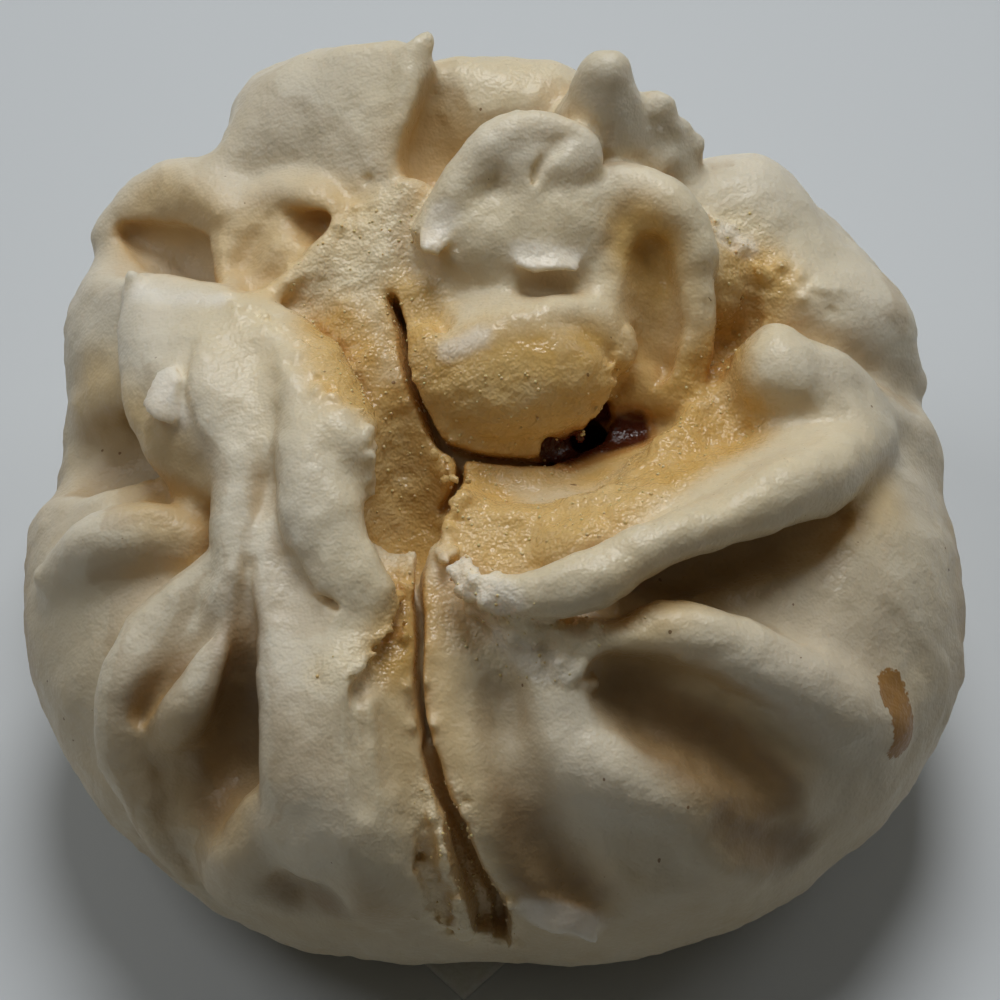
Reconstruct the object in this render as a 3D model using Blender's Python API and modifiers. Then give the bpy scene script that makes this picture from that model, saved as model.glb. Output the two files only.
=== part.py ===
"""Steamed bun with a torn crown, a meat filling that shows in the tear, and the paper square it sits on.

+Z up, the open side of the tear towards -Y, origin at the middle of the footprint on the table.
Sizes in the tables are millimetres and become metres when the shapes are made.
"""

import math
import random

import bmesh
import bpy
import numpy as np

MM = 0.001
SEED = 11

# Where the middle of the footprint lies in the tables below, mm
ORIGIN = np.array((0, 2.1, 0))

# Driving sizes, mm
BODY_CENTRE = (0, 2, 19)
BODY_RADII = (47, 46, 25)
BODY_SQUARENESS = 2.35
BASE_Z = 0.6
PAPER_SIDE = 60
PAPER_THICK = 0.3
PAPER_CENTRE = (-3, 2)
PAPER_TURN_DEG = 45
FILLING_CENTRE = (5, 4, 20)
FILLING_RADII = (23, 21, 11)
FILLING_GAP = 0.35
DETAIL = 1.7
KEPT_SHARE = 0.17
CUT_DETAIL = 1.3
SOFTEN_PASSES = 3

# Full parts of the dough: centre, radii
LOBES = {
    "left side": ((-33.5, -4, 20), (16, 24, 19)),
    "right side": ((33.5, -5, 20), (16, 25, 20)),
    "back left side": ((-33.5, 22, 28), (14, 17, 20)),
    "back right side": ((30, 24, 28), (15.5, 16, 20)),
    "back right shoulder": ((20, 27, 34), (13, 12, 18)),
    "crown base": ((0, 14, 28), (37, 30, 20)),
    "back wall": ((-4, 33, 32), (18, 14, 22)),
    "under the back flap": ((-20, 25, 36), (17, 14, 15)),
    "under the tuft": ((-2, 28, 38), (14, 12, 12)),
    "under the left ridge": ((-30, 20, 36), (9, 10, 11)),
    "back flap core": ((-17, 38, 47), (12, 7, 10)),
    "torn knob": ((0.5, 8, 43), (11, 8, 10)),
    "torn knob left": ((-2.5, 9, 42), (7, 6, 8)),
    "torn knob right": ((11, 12, 44), (4.5, 5, 7)),
    "knob shoulder": ((1.5, 21, 48), (10, 9, 9)),
    "tuft root": ((7, 22, 49), (8, 8, 9)),
    "swirl root": ((16, 26, 43), (8, 8, 9)),
    "right of the swirl": ((26.5, 29.5, 42), (9, 8, 9)),
    "inside of the right roll": ((32, 4, 38), (9, 6, 8)),
    "behind the right roll": ((22, -7, 39), (11, 6, 6)),
    "right torn sheet": ((35, 19, 36), (11, 8, 10)),
}

# Raised folds of the dough: x, y, z, radius along each fold
FOLDS = {
    "back lobe": ((-6, 36.5, 52, 6.4), (-2.5, 36.5, 53, 6.8), (3, 36.5, 53, 6.8), (8.5, 37.5, 51, 6.4)),
    "left ridge": ((-39, 32.5, 42, 3.4), (-35.5, 33.5, 45, 3.8), (-31.5, 31, 47, 3.4), (-24.5, 25, 47, 2.2)),
    "hood edge": ((-36.5, 16, 47, 1.8), (-35.5, 5.5, 44.5, 2.4),
                  (-30, -4.5, 41.5, 2), (-28.5, -9.5, 39, 1.8)),
    "hood fold": ((-26.5, -6.5, 45, 2.6), (-24.5, -16, 42, 2.4), (-24.5, -22.5, 36, 2.4)),
    "hood finger": ((-16.5, -8.5, 49, 3.2), (-16.5, -14, 48, 3.2),
                    (-15, -17.5, 46.5, 3.2), (-12.5, -19.5, 45, 2.2)),
    "left crest": ((-44, -10.5, 33.5, 2), (-39.5, -10, 38.5, 3.2),
                   (-34.5, -9.5, 40.5, 3), (-30.5, -10.5, 40.5, 2)),
    "front pleat": ((-20.5, -15.5, 42.5, 2.6), (-19.5, -28.5, 39.5, 3.4),
                    (-18, -38.5, 31, 3.2), (-16, -40, 26, 2.6)),
    "front pleat flank": ((-15, -19, 41.5, 4), (-14, -28.5, 39, 5), (-13, -37, 34, 5), (-11.5, -40, 27, 4)),
    "left outer fold": ((-28.5, -14.5, 40.5, 2.2), (-35, -21, 36.5, 2.4), (-37, -28.5, 28.5, 2.4),
                        (-30.5, -34.5, 19.5, 2)),
    "left inner fold": ((-26.5, -22.5, 40, 2.4), (-29.5, -25.5, 36.5, 2.8), (-34.5, -27, 31.5, 1.8)),
    "knob lip": ((-4, 7, 50.5, 1.6), (5, 8.5, 52.5, 1.8), (11, 9, 51, 1.8)),
    "tuft": ((-5, 19.5, 54, 2.6), (-4, 21.5, 57, 3.2), (-1.5, 22.5, 60, 3.4), (3, 24.5, 62, 2.2)),
    "tuft loop": ((2.5, 24.5, 62, 2.2), (9, 26, 62, 1.8), (10, 25.5, 60, 2), (4, 23, 55, 2)),
    "tuft tip": ((11.5, 29, 63.5, 3.7), (11.5, 27, 61, 3.6), (11.5, 26, 58, 2.6)),
    "tuft bud": ((17.5, 30.5, 60, 1.9), (18, 30, 57, 2.2), (16, 28, 54, 2)),
    "swirl": ((11, 22, 56, 3), (15, 22, 56, 3.2), (21.5, 19, 53.5, 2.2),
              (20.5, 13, 48, 2), (19.5, 7.5, 43, 2.2)),
    "right crease edge": ((28.5, 21, 46, 1.8), (37, 17, 42.5, 2), (45, 16, 33, 1.6)),
    "right roll": ((-3, -17.5, 44.5, 1.6), (0, -21, 46, 2.3), (8.5, -21, 47.5, 2.8), (20, -14.5, 48, 2.9),
                   (34.5, -4.5, 44.5, 3), (39, 2.5, 41, 2.6)),
    "right small roll": ((27, 7, 44.5, 2.4), (31.5, 9, 44, 2.6), (38, 6.5, 40, 2.6)),
    "right shelf": ((11, -24, 42, 2), (22.5, -22, 41, 3), (35, -24, 35, 3.4), (40.5, -23.5, 29.5, 3)),
}

# Flaps: one edge, the opposite edge, half thickness
FLAPS = {
    "back flap": (
        ((-29, 33, 47), (-23.5, 37, 53), (-15.5, 38.5, 57), (-8.5, 36.5, 59)),
        ((-29, 31.5, 46), (-21.5, 28, 48), (-14.5, 26, 50), (-10.5, 26.5, 52)),
        3.6,
    ),
    "torn plate": (
        ((-23.5, 15.5, 46), (-16, 21.5, 49.5), (-8.5, 24.5, 53)),
        ((-21, 13, 45), (-13.5, 7, 46), (-9.5, 18.5, 49)),
        2.2,
    ),
    "left hood": (
        ((-35.5, 16.5, 46.5), (-24.5, 11.5, 48.5), (-16.5, 2.5, 49.5), (-14, -2.5, 49)),
        ((-34, 3.5, 42), (-28.5, -5, 43), (-20.5, -10.5, 45), (-14.5, -9.5, 47)),
        2.8,
    ),
    "wet plate": (
        ((-3, -1.5, 41.5), (9, -2.5, 40.5), (21, 3, 41)),
        ((-2, -16, 44), (8.5, -18, 46), (22.5, -9, 46)),
        1.6,
    ),
}

# Hollows cut into the dough: x, y, z, radius
HOLLOWS = {
    "left pocket": ((-41, 28, 42, 1.2), (-37, 28, 44, 2.6), (-33, 26, 45, 3), (-30, 24, 45, 2.4)),
    "left pocket floor": ((-38, 24, 44, 3), (-32.5, 22, 46, 4)),
    "back pocket": ((-25, 19, 49, 3.4), (-21, 22, 48.5, 4), (-16.5, 25, 48.5, 2.4)),
    "side of the crack": ((-10, 2.5, 50, 2.6), (-9, -1, 46, 4.2), (-8.5, -5, 43, 5), (-8, -12, 37, 2.4)),
    "valley under the hood": ((-44.5, 5.5, 34, 3), (-40, 3.5, 36, 4.5), (-34, 4, 38, 3.5)),
    "under the hood edge": ((-39.5, 14, 39, 2), (-34, 1.5, 37, 3), (-31.5, -2, 36, 2)),
    "beside the outer fold": ((-29, -20.5, 40, 2.6), (-31.5, -23.5, 38, 2.6), (-34, -25.5, 35, 1.4)),
    "left hollow": ((-25, -32, 37.5, 4.5), (-28, -34.5, 34, 4.5), (-31, -36, 30.5, 3.5)),
    "foot of the knob": ((-6, -1, 47, 3), (0, -2.5, 46, 4), (7, -1.5, 45.5, 4.2),
                         (12, 3, 44.5, 4), (17, 8, 44, 3.5)),
    "above the knob lip": ((2.5, 10.5, 53, 1.6), (6, 10, 53, 2.2), (10.5, 12, 52, 1.4)),
    "inside the swirl": ((17.5, 19.5, 48, 1.4), (17.5, 16, 45, 2.2), (15.5, 10, 38, 2.4)),
    "right of the swirl": ((23.5, 16, 48, 2.5), (25.5, 13.5, 46, 3.4), (24.5, 11, 44, 2.5)),
    "under the right roll": ((10.5, -22, 43, 1.6), (21.5, -16, 41.5, 3),
                             (29.5, -11.5, 40.5, 3), (37, -6, 38, 2.4)),
    "under the roll end": ((7.5, -21.5, 43, 1.6), (10, -23.5, 41.5, 1.6)),
    "front valley": ((14.5, -28.5, 41.5, 4.5), (19.5, -34, 38.5, 5), (27.5, -37, 32.5, 5), (34, -38, 22, 4)),
    "tear": ((-7, -18, 44.5, 1.8), (-6.5, -26, 42.5, 1.8), (-5, -37, 36.5, 2.2),
             (-2.5, -42, 30, 2.8), (-0.5, -44, 24.5, 2.6)),
}

# The hole at the foot of the torn knob, down to the filling
HOLE_MOUTH = ((6.5, 1, 41, 2.2), (10, 4, 40, 2.8), (13, 8, 39.5, 2.8), (15.5, 9.5, 39, 2.2))
HOLE_SHAFT = ((10.5, 3.5, 41, 3), (11.5, 6, 34, 3), (12, 8, 27, 3))

# Pleats round the hidden back, bearing in degrees from +X
BACK_PLEATS = (12, 38, 62, 88, 112, 138, 165)
BACK_PLEAT_RADIUS = 4.2


for old in list(bpy.data.objects):
    bpy.data.objects.remove(old, do_unlink=True)

bun = bpy.data.collections.new("steamed_bun")
cutters = bpy.data.collections.new("cutters")
bpy.context.scene.collection.children.link(bun)
bpy.context.scene.collection.children.link(cutters)
cutters.hide_render = True


def placed(point):
    """A point of the tables, in metres from the origin."""
    return (np.array(point[:3]) - ORIGIN) * MM


def as_mesh(obj):
    """The evaluated shape of a working object, which is then removed."""
    graph = bpy.context.evaluated_depsgraph_get()
    mesh = bpy.data.meshes.new_from_object(obj.evaluated_get(graph))
    mesh.transform(obj.matrix_world)
    bpy.data.objects.remove(obj, do_unlink=True)
    return mesh


def lobe(centre, radii, squareness=2.0, rings=32):
    """A round mass: a sphere pushed out to a superellipsoid."""
    bpy.ops.mesh.primitive_uv_sphere_add(segments=2 * rings, ring_count=rings, radius=1)
    obj = bpy.context.object
    count = len(obj.data.vertices)
    points = np.empty(count * 3)
    obj.data.vertices.foreach_get("co", points)
    points = points.reshape(-1, 3)
    size = (np.abs(points) ** squareness).sum(axis=1) ** (1 / squareness)
    points = points / size[:, None] * np.array(radii) * MM + placed(centre)
    obj.data.vertices.foreach_set("co", points.ravel())
    return as_mesh(obj)


def fold(points):
    """A swept fold with rounded ends and a thickness that changes along it."""
    data = bpy.data.curves.new("fold", "CURVE")
    data.dimensions = "3D"
    data.bevel_depth = MM
    data.bevel_resolution = 3
    data.resolution_u = 8
    data.use_fill_caps = True
    spline = data.splines.new("BEZIER")
    spline.bezier_points.add(len(points) - 1)
    for knot, point in zip(spline.bezier_points, points):
        knot.co = placed(point)
        knot.radius = point[3]
        knot.handle_left_type = "AUTO"
        knot.handle_right_type = "AUTO"
    obj = bpy.data.objects.new("fold", data)
    bpy.context.scene.collection.objects.link(obj)
    meshes = [as_mesh(obj)]
    for x, y, z, radius in (points[0], points[-1]):
        meshes.append(lobe((x, y, z), (radius, radius, radius), rings=10))
    return meshes


def along(points, count):
    """Evenly spaced points on the polyline through the given points."""
    points = np.array(points, float)
    steps = np.linalg.norm(np.diff(points, axis=0), axis=1)
    place = np.concatenate([[0], np.cumsum(steps)])
    wanted = np.linspace(0, place[-1], count)
    return np.stack([np.interp(wanted, place, points[:, axis]) for axis in range(3)], axis=1)


def flap(edge, opposite, half):
    """A thick sheet ruled between two edges."""
    bpy.ops.mesh.primitive_grid_add(x_subdivisions=14, y_subdivisions=10, size=2)
    obj = bpy.context.object
    first = along(edge, 201)
    second = along(opposite, 201)
    for vertex in obj.data.vertices:
        place = round((vertex.co.x + 1) * 100)
        share = (vertex.co.y + 1) / 2
        vertex.co = placed(first[place] * (1 - share) + second[place] * share)
    thicken = obj.modifiers.new("thicken", "SOLIDIFY")
    thicken.thickness = 2 * half * MM
    thicken.offset = 0
    return as_mesh(obj)


def gathered(name, meshes, collection):
    """One object from many overlapping closed shapes."""
    work = bmesh.new()
    for mesh in meshes:
        work.from_mesh(mesh)
        bpy.data.meshes.remove(mesh)
    data = bpy.data.meshes.new(name)
    work.to_mesh(data)
    work.free()
    obj = bpy.data.objects.new(name, data)
    collection.objects.link(obj)
    return obj


def fused(obj, detail):
    remesh = obj.modifiers.new("fuse", "REMESH")
    remesh.mode = "VOXEL"
    remesh.voxel_size = detail * MM
    remesh.use_smooth_shade = True


def cut(obj, cutter, name):
    boolean = obj.modifiers.new(name, "BOOLEAN")
    boolean.operation = "DIFFERENCE"
    boolean.solver = "EXACT"
    boolean.object = cutter


def back_pleat(bearing, length, radius):
    """A fold running down the round body from the crown at one bearing."""
    points = []
    for down in np.linspace(38, 38 + length, 5):
        tilt = math.radians(down)
        reach = math.sin(tilt)
        x = BODY_CENTRE[0] + BODY_RADII[0] * reach * math.cos(math.radians(bearing))
        y = BODY_CENTRE[1] + BODY_RADII[1] * reach * math.sin(math.radians(bearing))
        z = BODY_CENTRE[2] + 3 + 30 * math.cos(tilt)
        share = (down - 38) / length
        points.append((x, y, z, radius * (1.1 - 0.75 * share)))
    return tuple(points)


# The dough: every full part and fold fused into one body
dice = random.Random(SEED)
shapes = [lobe(BODY_CENTRE, BODY_RADII, BODY_SQUARENESS)]
for centre, radii in LOBES.values():
    shapes.append(lobe(centre, radii))
for points in FOLDS.values():
    shapes.extend(fold(points))
for bearing in BACK_PLEATS:
    turn = bearing + dice.uniform(-4, 4)
    shapes.extend(fold(back_pleat(turn, dice.uniform(38, 55), BACK_PLEAT_RADIUS)))
for edge, opposite, half in FLAPS.values():
    shapes.append(flap(edge, opposite, half))
dough = gathered("dough", shapes, bun)
fused(dough, DETAIL)
soften = dough.modifiers.new("soften", "SMOOTH")
soften.factor = 0.5
soften.iterations = SOFTEN_PASSES

# The hollows between the folds, and the tear
shapes = []
for points in HOLLOWS.values():
    shapes.extend(fold(points))
hollows = gathered("hollows", shapes, cutters)
fused(hollows, CUT_DETAIL)
cut(dough, hollows, "hollows")
fused(dough, DETAIL)
coarser = dough.modifiers.new("coarser", "DECIMATE")
coarser.ratio = KEPT_SHARE

# The flat foot
bpy.ops.mesh.primitive_cube_add(size=0.2, location=(0, 0, BASE_Z * MM - 0.1))
foot = bpy.context.object
foot.name = "foot_cutter"
for owner in list(foot.users_collection):
    owner.objects.unlink(foot)
cutters.objects.link(foot)
cut(dough, foot, "flat foot")


def filling_shape(name, grow, collection):
    """The lump of filling, its knobbly surface the same for the lump and for the room it lies in."""
    bpy.ops.mesh.primitive_ico_sphere_add(subdivisions=4, radius=1)
    obj = bpy.context.object
    obj.name = name
    obj.data.name = name
    lumps = random.Random(SEED)
    waves = []
    for _ in range(5):
        waves.append([lumps.uniform(2, 5) for _ in range(3)] + [lumps.uniform(0, 6)])
    for vertex in obj.data.vertices:
        direction = np.array(vertex.co)
        swell = sum(math.sin(direction @ np.array(wave[:3]) + wave[3]) for wave in waves)
        radii = np.array(FILLING_RADII) * (1 + 0.02 * swell)
        vertex.co = placed(np.array(FILLING_CENTRE) + direction * (radii + grow))
    for owner in list(obj.users_collection):
        owner.objects.unlink(obj)
    collection.objects.link(obj)
    return obj


filling = filling_shape("filling", 0, bun)
room = filling_shape("filling_room", FILLING_GAP * 1.3, cutters)
opening = gathered("opening", fold(HOLE_MOUTH) + fold(HOLE_SHAFT), cutters)
fused(opening, CUT_DETAIL / 2)
cut(dough, room, "room for the filling")
cut(dough, opening, "hole")

# The paper square
bpy.ops.mesh.primitive_cube_add(size=1)
paper = bpy.context.object
paper.name = "paper_liner"
paper.data.name = "paper_liner"
paper.scale = (PAPER_SIDE * MM, PAPER_SIDE * MM, PAPER_THICK * MM)
paper.rotation_euler = (0, 0, math.radians(PAPER_TURN_DEG))
paper.location = placed((*PAPER_CENTRE, PAPER_THICK / 2))
for owner in list(paper.users_collection):
    owner.objects.unlink(paper)
bun.objects.link(paper)

for obj in cutters.objects:
    obj.hide_render = True
    obj.display_type = "WIRE"


def finish(obj, name, colour, roughness):
    material = bpy.data.materials.new(name)
    material.use_nodes = True
    shader = material.node_tree.nodes["Principled BSDF"]
    shader.inputs["Base Color"].default_value = (*colour, 1)
    shader.inputs["Roughness"].default_value = roughness
    obj.data.materials.clear()
    obj.data.materials.append(material)


finish(dough, "steamed dough", (0.80, 0.73, 0.60), 0.5)
finish(filling, "meat filling", (0.16, 0.05, 0.02), 0.3)
finish(paper, "baking paper", (0.80, 0.80, 0.76), 0.6)
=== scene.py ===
# %% [markdown]
# # A steamed bun with a torn crown
# A steamed bun is one ball of soft dough, pleated shut over a meat filling. Here the pleats have
# split open: a torn knob leans back in the middle, a hood of skin hangs on the left, a thick roll
# curls round the right, and a dark hole shows the meat. It sits on a small square of paper.

import math

import bpy
import numpy as np
import openvdb
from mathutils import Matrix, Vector


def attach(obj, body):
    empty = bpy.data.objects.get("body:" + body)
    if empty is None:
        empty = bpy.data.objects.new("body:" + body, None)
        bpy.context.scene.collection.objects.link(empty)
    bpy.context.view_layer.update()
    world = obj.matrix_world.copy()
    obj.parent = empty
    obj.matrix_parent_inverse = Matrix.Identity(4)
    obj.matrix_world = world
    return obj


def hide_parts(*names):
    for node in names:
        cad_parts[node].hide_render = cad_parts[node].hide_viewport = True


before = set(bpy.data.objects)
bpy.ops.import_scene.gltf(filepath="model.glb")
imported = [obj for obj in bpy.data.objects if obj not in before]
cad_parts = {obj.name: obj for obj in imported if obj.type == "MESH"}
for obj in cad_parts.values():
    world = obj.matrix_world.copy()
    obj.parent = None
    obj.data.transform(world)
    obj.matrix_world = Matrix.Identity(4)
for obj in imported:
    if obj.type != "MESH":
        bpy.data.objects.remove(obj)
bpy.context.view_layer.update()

# %% Sizes shared by every piece, in millimetres, and the counts
MM = 0.001
ORIGIN = np.array((0, 2.1, 0))
BASE_Z = 0.6
STEP = 0.42
FAR = 30
LATTICE = 32
SEED = 11
MOST_TRIANGLES = 197000
FILLING_CENTRE = (5, 4, 20)
FILLING_RADII = (23, 21, 11)

# %% [markdown]
# ## Clay
# Dough has no straight edges: its folds melt into each other. Boxes of polygons are hard to melt,
# but distances are easy. The clay below is a grid that holds, at every point, the distance to the
# surface: negative inside, positive outside. Joining two shapes is the smaller of two distances,
# and a soft seam comes from mixing the two where they are nearly equal. Carving is the same with
# the sign turned round. At the end the zero level of the grid becomes a mesh. A fold or a hollow
# takes points (x, y, z, radius) and the width of its soft seam. A flap or a slit takes two edges,
# half its thickness and its seam, and a flap may sag in the middle. All are in millimetres.

# %% Small helpers for the clay


def smooth_path(points, spacing):
    """Points on a smooth curve through the given points, a radius or other value kept with each."""
    points = np.array(points, float)
    if len(points) == 1:
        return points
    ends = np.vstack([2 * points[0] - points[1], points, 2 * points[-1] - points[-2]])
    found = []
    for a, b, c, d in zip(ends, ends[1:], ends[2:], ends[3:]):
        count = max(2, math.ceil(np.linalg.norm((c - b)[:3]) / spacing))
        t = np.linspace(0, 1, count, endpoint=False)[:, None]
        curve = 2 * b + (c - a) * t + (2 * a - 5 * b + 4 * c - d) * t ** 2
        found.append(0.5 * (curve + (3 * b - a - 3 * c + d) * t ** 3))
    found.append(points[-1:])
    return np.vstack(found)


def evenly(points, count):
    """That many evenly spaced points on the smooth curve through the points."""
    dense = smooth_path(points, 0.33)
    place = np.concatenate([[0], np.cumsum(np.linalg.norm(np.diff(dense, axis=0), axis=1))])
    wanted = np.linspace(0, place[-1], count)
    return np.stack([np.interp(wanted, place, dense[:, i]) for i in range(dense.shape[1])], 1)


def lattice_noise(points, size, seed):
    """Smooth random values from -1 to 1, with bumps about that size, at points in mm."""
    # The table repeats every 32 cells, a power of two, so that & wraps round it
    table = np.random.default_rng(seed).uniform(-1, 1, (LATTICE, LATTICE, LATTICE)).astype(np.float32)
    place = points / np.float32(size)
    cell = np.floor(place).astype(np.int32)
    part = (place - cell).astype(np.float32)
    part = part * part * (3 - 2 * part)
    total = 0
    for corner in np.ndindex(2, 2, 2):
        weight = 1
        for i in range(3):
            weight = weight * (part[:, i] if corner[i] else 1 - part[:, i])
        index = (cell + np.array(corner, np.int32)) & (LATTICE - 1)
        total = total + table[index[:, 0], index[:, 1], index[:, 2]] * weight
    return total


# %% The clay itself


class Clay:
    """Soft matter as a grid of distances to its surface, in mm, with painted layers beside it."""

    def __init__(self, low, high, step):
        self.low = np.array(low, float)
        self.step = step
        self.count = np.ceil((np.array(high) - self.low) / step).astype(int) + 1
        self.axes = [(self.low[i] + step * np.arange(self.count[i])).astype(np.float32) for i in range(3)]
        self.distance = np.full(self.count, FAR, np.float32)
        self.layers = {}

    def window(self, low, high):
        """The part of the grid in a box, and its coordinates."""
        first = np.clip(np.floor((low - self.low) / self.step).astype(int), 0, self.count)
        last = np.clip(np.ceil((high - self.low) / self.step).astype(int) + 1, 0, self.count)
        part = tuple(slice(first[i], last[i]) for i in range(3))
        shapes = ((-1, 1, 1), (1, -1, 1), (1, 1, -1))
        return part, [self.axes[i][part[i]].reshape(shapes[i]) for i in range(3)]

    def melt(self, part, shape, blend, sign):
        """Joins a shape to the clay when the sign is 1, and takes it away when it is -1."""
        here = sign * self.distance[part]
        share = np.clip(0.5 + 0.5 * (here - shape) / blend, 0, 1)
        here = here + (shape - here) * share - blend * share * (1 - share)
        self.distance[part] = sign * here

    def round(self, centre, radii, blend, squareness):
        """The distance to an ellipsoid, or to a squarer one."""
        centre = np.array(centre, np.float32)
        radii = np.array(radii, np.float32)
        reach = radii.max() + blend + 3 * self.step
        part, axes = self.window(centre - reach, centre + reach)
        scaled = [np.abs(axes[i] - centre[i]) / radii[i] for i in range(3)]
        size = sum(v ** squareness for v in scaled) ** (1 / squareness)
        slope = np.sqrt(sum((scaled[i] ** (squareness - 1) / radii[i]) ** 2 for i in range(3)))
        shape = (size - 1) * np.maximum(size, 1e-3) ** (squareness - 1) / np.maximum(slope, 1e-6)
        return part, shape

    def beads(self, centres, radii, reach):
        """The distance to a chain of balls, right up to that reach outside them."""
        radii = np.broadcast_to(radii, (len(centres),))
        far = radii.max() + reach
        part, axes = self.window(centres.min(0) - far, centres.max(0) + far)
        flat = [axis.ravel() for axis in axes]
        shape = np.full([len(axis) for axis in flat], far, np.float32)
        for centre, radius in zip(centres, radii):
            near = []
            for i in range(3):
                ends = (centre[i] - radius - reach, centre[i] + radius + reach)
                near.append(slice(*np.searchsorted(flat[i], ends)))
            x, y, z = [(flat[i][near[i]] - centre[i]) ** 2 for i in range(3)]
            ball = np.sqrt(x[:, None, None] + y[None, :, None] + z[None, None, :]) - radius
            if ball.size:
                np.minimum(shape[tuple(near)], ball, out=shape[tuple(near)])
        return part, shape

    def chain(self, points, blend):
        space = np.clip(0.7 * min(point[3] for point in points), 0.3, 0.62)
        path = smooth_path(points, space)
        return self.beads(path[:, :3], np.maximum(path[:, 3], 0.05), blend + 2 * self.step)

    def ruled(self, edge, opposite, half, blend, sag):
        """The distance to a thick sheet stretched between two edges."""
        space = np.clip(0.7 * half, 0.3, 0.8)
        long = max(len(smooth_path(edge, space)), len(smooth_path(opposite, space)))
        first, second = evenly(edge, long), evenly(opposite, long)
        wide = max(2, math.ceil(np.linalg.norm(first - second, axis=1).max() / space))
        t = np.linspace(0, 1, wide)[None, :, None]
        sheet = first[:, None] * (1 - t) + second[:, None] * t + np.array(sag) * 4 * t * (1 - t)
        return self.beads(sheet.reshape(-1, 3), half, blend + 2 * self.step)

    def lobe(self, centre, radii, blend, squareness=2):
        self.melt(*self.round(centre, radii, blend, squareness), blend, 1)

    def dent(self, centre, radii, blend):
        self.melt(*self.round(centre, radii, blend, 2), blend, -1)

    def fold(self, points, blend):
        self.melt(*self.chain(points, blend), blend, 1)

    def hollow(self, points, blend):
        self.melt(*self.chain(points, blend), blend, -1)

    def flap(self, edge, opposite, half, blend, sag=(0, 0, 0)):
        self.melt(*self.ruled(edge, opposite, half, blend, sag), blend, 1)

    def slit(self, edge, opposite, half, blend):
        self.melt(*self.ruled(edge, opposite, half, blend, (0, 0, 0)), blend, -1)

    def paint(self, layer, points, soft):
        """Colours a layer along a chain of balls, fading over the soft distance outside them."""
        grid = self.layers.setdefault(layer, np.zeros(self.count, np.float32))
        path = smooth_path(points, 0.8)
        part, shape = self.beads(path[:, :3], np.maximum(path[:, 3], 0.05), soft)
        fade = np.clip(1 - shape / soft, 0, 1)
        grid[part] = np.maximum(grid[part], fade * fade * (3 - 2 * fade))

    def shell(self, depth):
        """The grid cells near the surface, and where they are."""
        cells = np.nonzero(np.abs(self.distance) < depth)
        return cells, np.stack([self.axes[i][cells[i]] for i in range(3)], 1)

    def read(self, grid, points):
        """Values of a grid at any points, between its cells too."""
        place = np.clip((points - self.low) / self.step, 0, self.count - 1.001)
        cell = place.astype(int)
        part = place - cell
        total = 0
        for corner in np.ndindex(2, 2, 2):
            weight = np.where(corner, part, 1 - part).prod(axis=1)
            index = cell + corner
            total = total + grid[index[:, 0], index[:, 1], index[:, 2]] * weight
        return total

    def stir(self, depth, waves):
        """Pushes the surface about sideways by noise, so that no edge stays as it was drawn."""
        cells, places = self.shell(depth)
        moved = places.copy()
        for size, amount, seed in waves:
            for i in range(3):
                moved[:, i] += amount * lattice_noise(places, size, seed + i)
        self.distance[cells] = self.read(self.distance, moved)

    def mesh(self, name):
        """The surface as a Blender mesh, in metres from the origin."""
        band = 3 * self.step
        grid = openvdb.FloatGrid(band)
        grid.copyFromArray(np.clip(self.distance, -band, band), tolerance=1e-7)
        points, triangles, quads = grid.convertToPolygons()
        points = (points * self.step + self.low - ORIGIN) * MM
        corners = np.concatenate([triangles.ravel(), quads.ravel()])
        starts = np.concatenate(
            [3 * np.arange(len(triangles)), 3 * len(triangles) + 4 * np.arange(len(quads))]
        )
        mesh = bpy.data.meshes.new(name)
        mesh.vertices.add(len(points))
        mesh.vertices.foreach_set("co", points.astype(np.float32).ravel())
        mesh.loops.add(len(corners))
        mesh.loops.foreach_set("vertex_index", corners.astype(np.int32))
        mesh.polygons.add(len(starts))
        mesh.polygons.foreach_set("loop_start", starts.astype(np.int32))
        mesh.update(calc_edges=True)
        return mesh


dough = Clay(low=(-53, -49, -1), high=(53, 53, 71), step=STEP)
lobe, fold, flap = dough.lobe, dough.fold, dough.flap
dent, hollow, slit = dough.dent, dough.hollow, dough.slit
print("clay grid:", dough.count, "cells of", STEP, "mm")

# %% [markdown]
# ## The body
# A bun spreads into a cushion a little squarer than a ball, because the dough pushes out as it
# rises. Softer lobes at its sides and back carry the folds that come later.

# %% Body and lobes
lobe((0, 2, 19), (47, 46, 25), 0.5, squareness=2.35)
lobe((0, 14, 28), (37, 30, 20), 8)
# The left and right sides
lobe((-33.5, -4, 20), (16, 24, 19), 4)
lobe((33.5, -5, 20), (16, 25, 20), 5)
# The back corners
lobe((-33.5, 22, 28), (14, 17, 20), 3)
lobe((30, 24, 28), (15.5, 16, 20), 3)
lobe((20, 27, 34), (13, 12, 18), 3)
# What carries the back flap, the tuft and the left ridge
lobe((-20, 25, 36), (17, 14, 15), 4)
lobe((-4, 33, 32), (18, 14, 22), 4)
lobe((-2, 28, 38), (14, 12, 12), 4)
lobe((-30, 20, 36), (9, 10, 11), 4)
# The crater at the foot of the torn knob
hollow([(-7, -2, 48, 3.5), (0, -4, 46.5, 4.8), (7, -3, 46, 5), (12, 2, 45, 4.8), (17, 8, 44, 3.8),
        (20, 14, 43, 3)], 3)

# %% [markdown]
# ## The back of the crown
# Behind the tear a lobe bulges up, and beside it stands a torn flap with a ragged corner.

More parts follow.
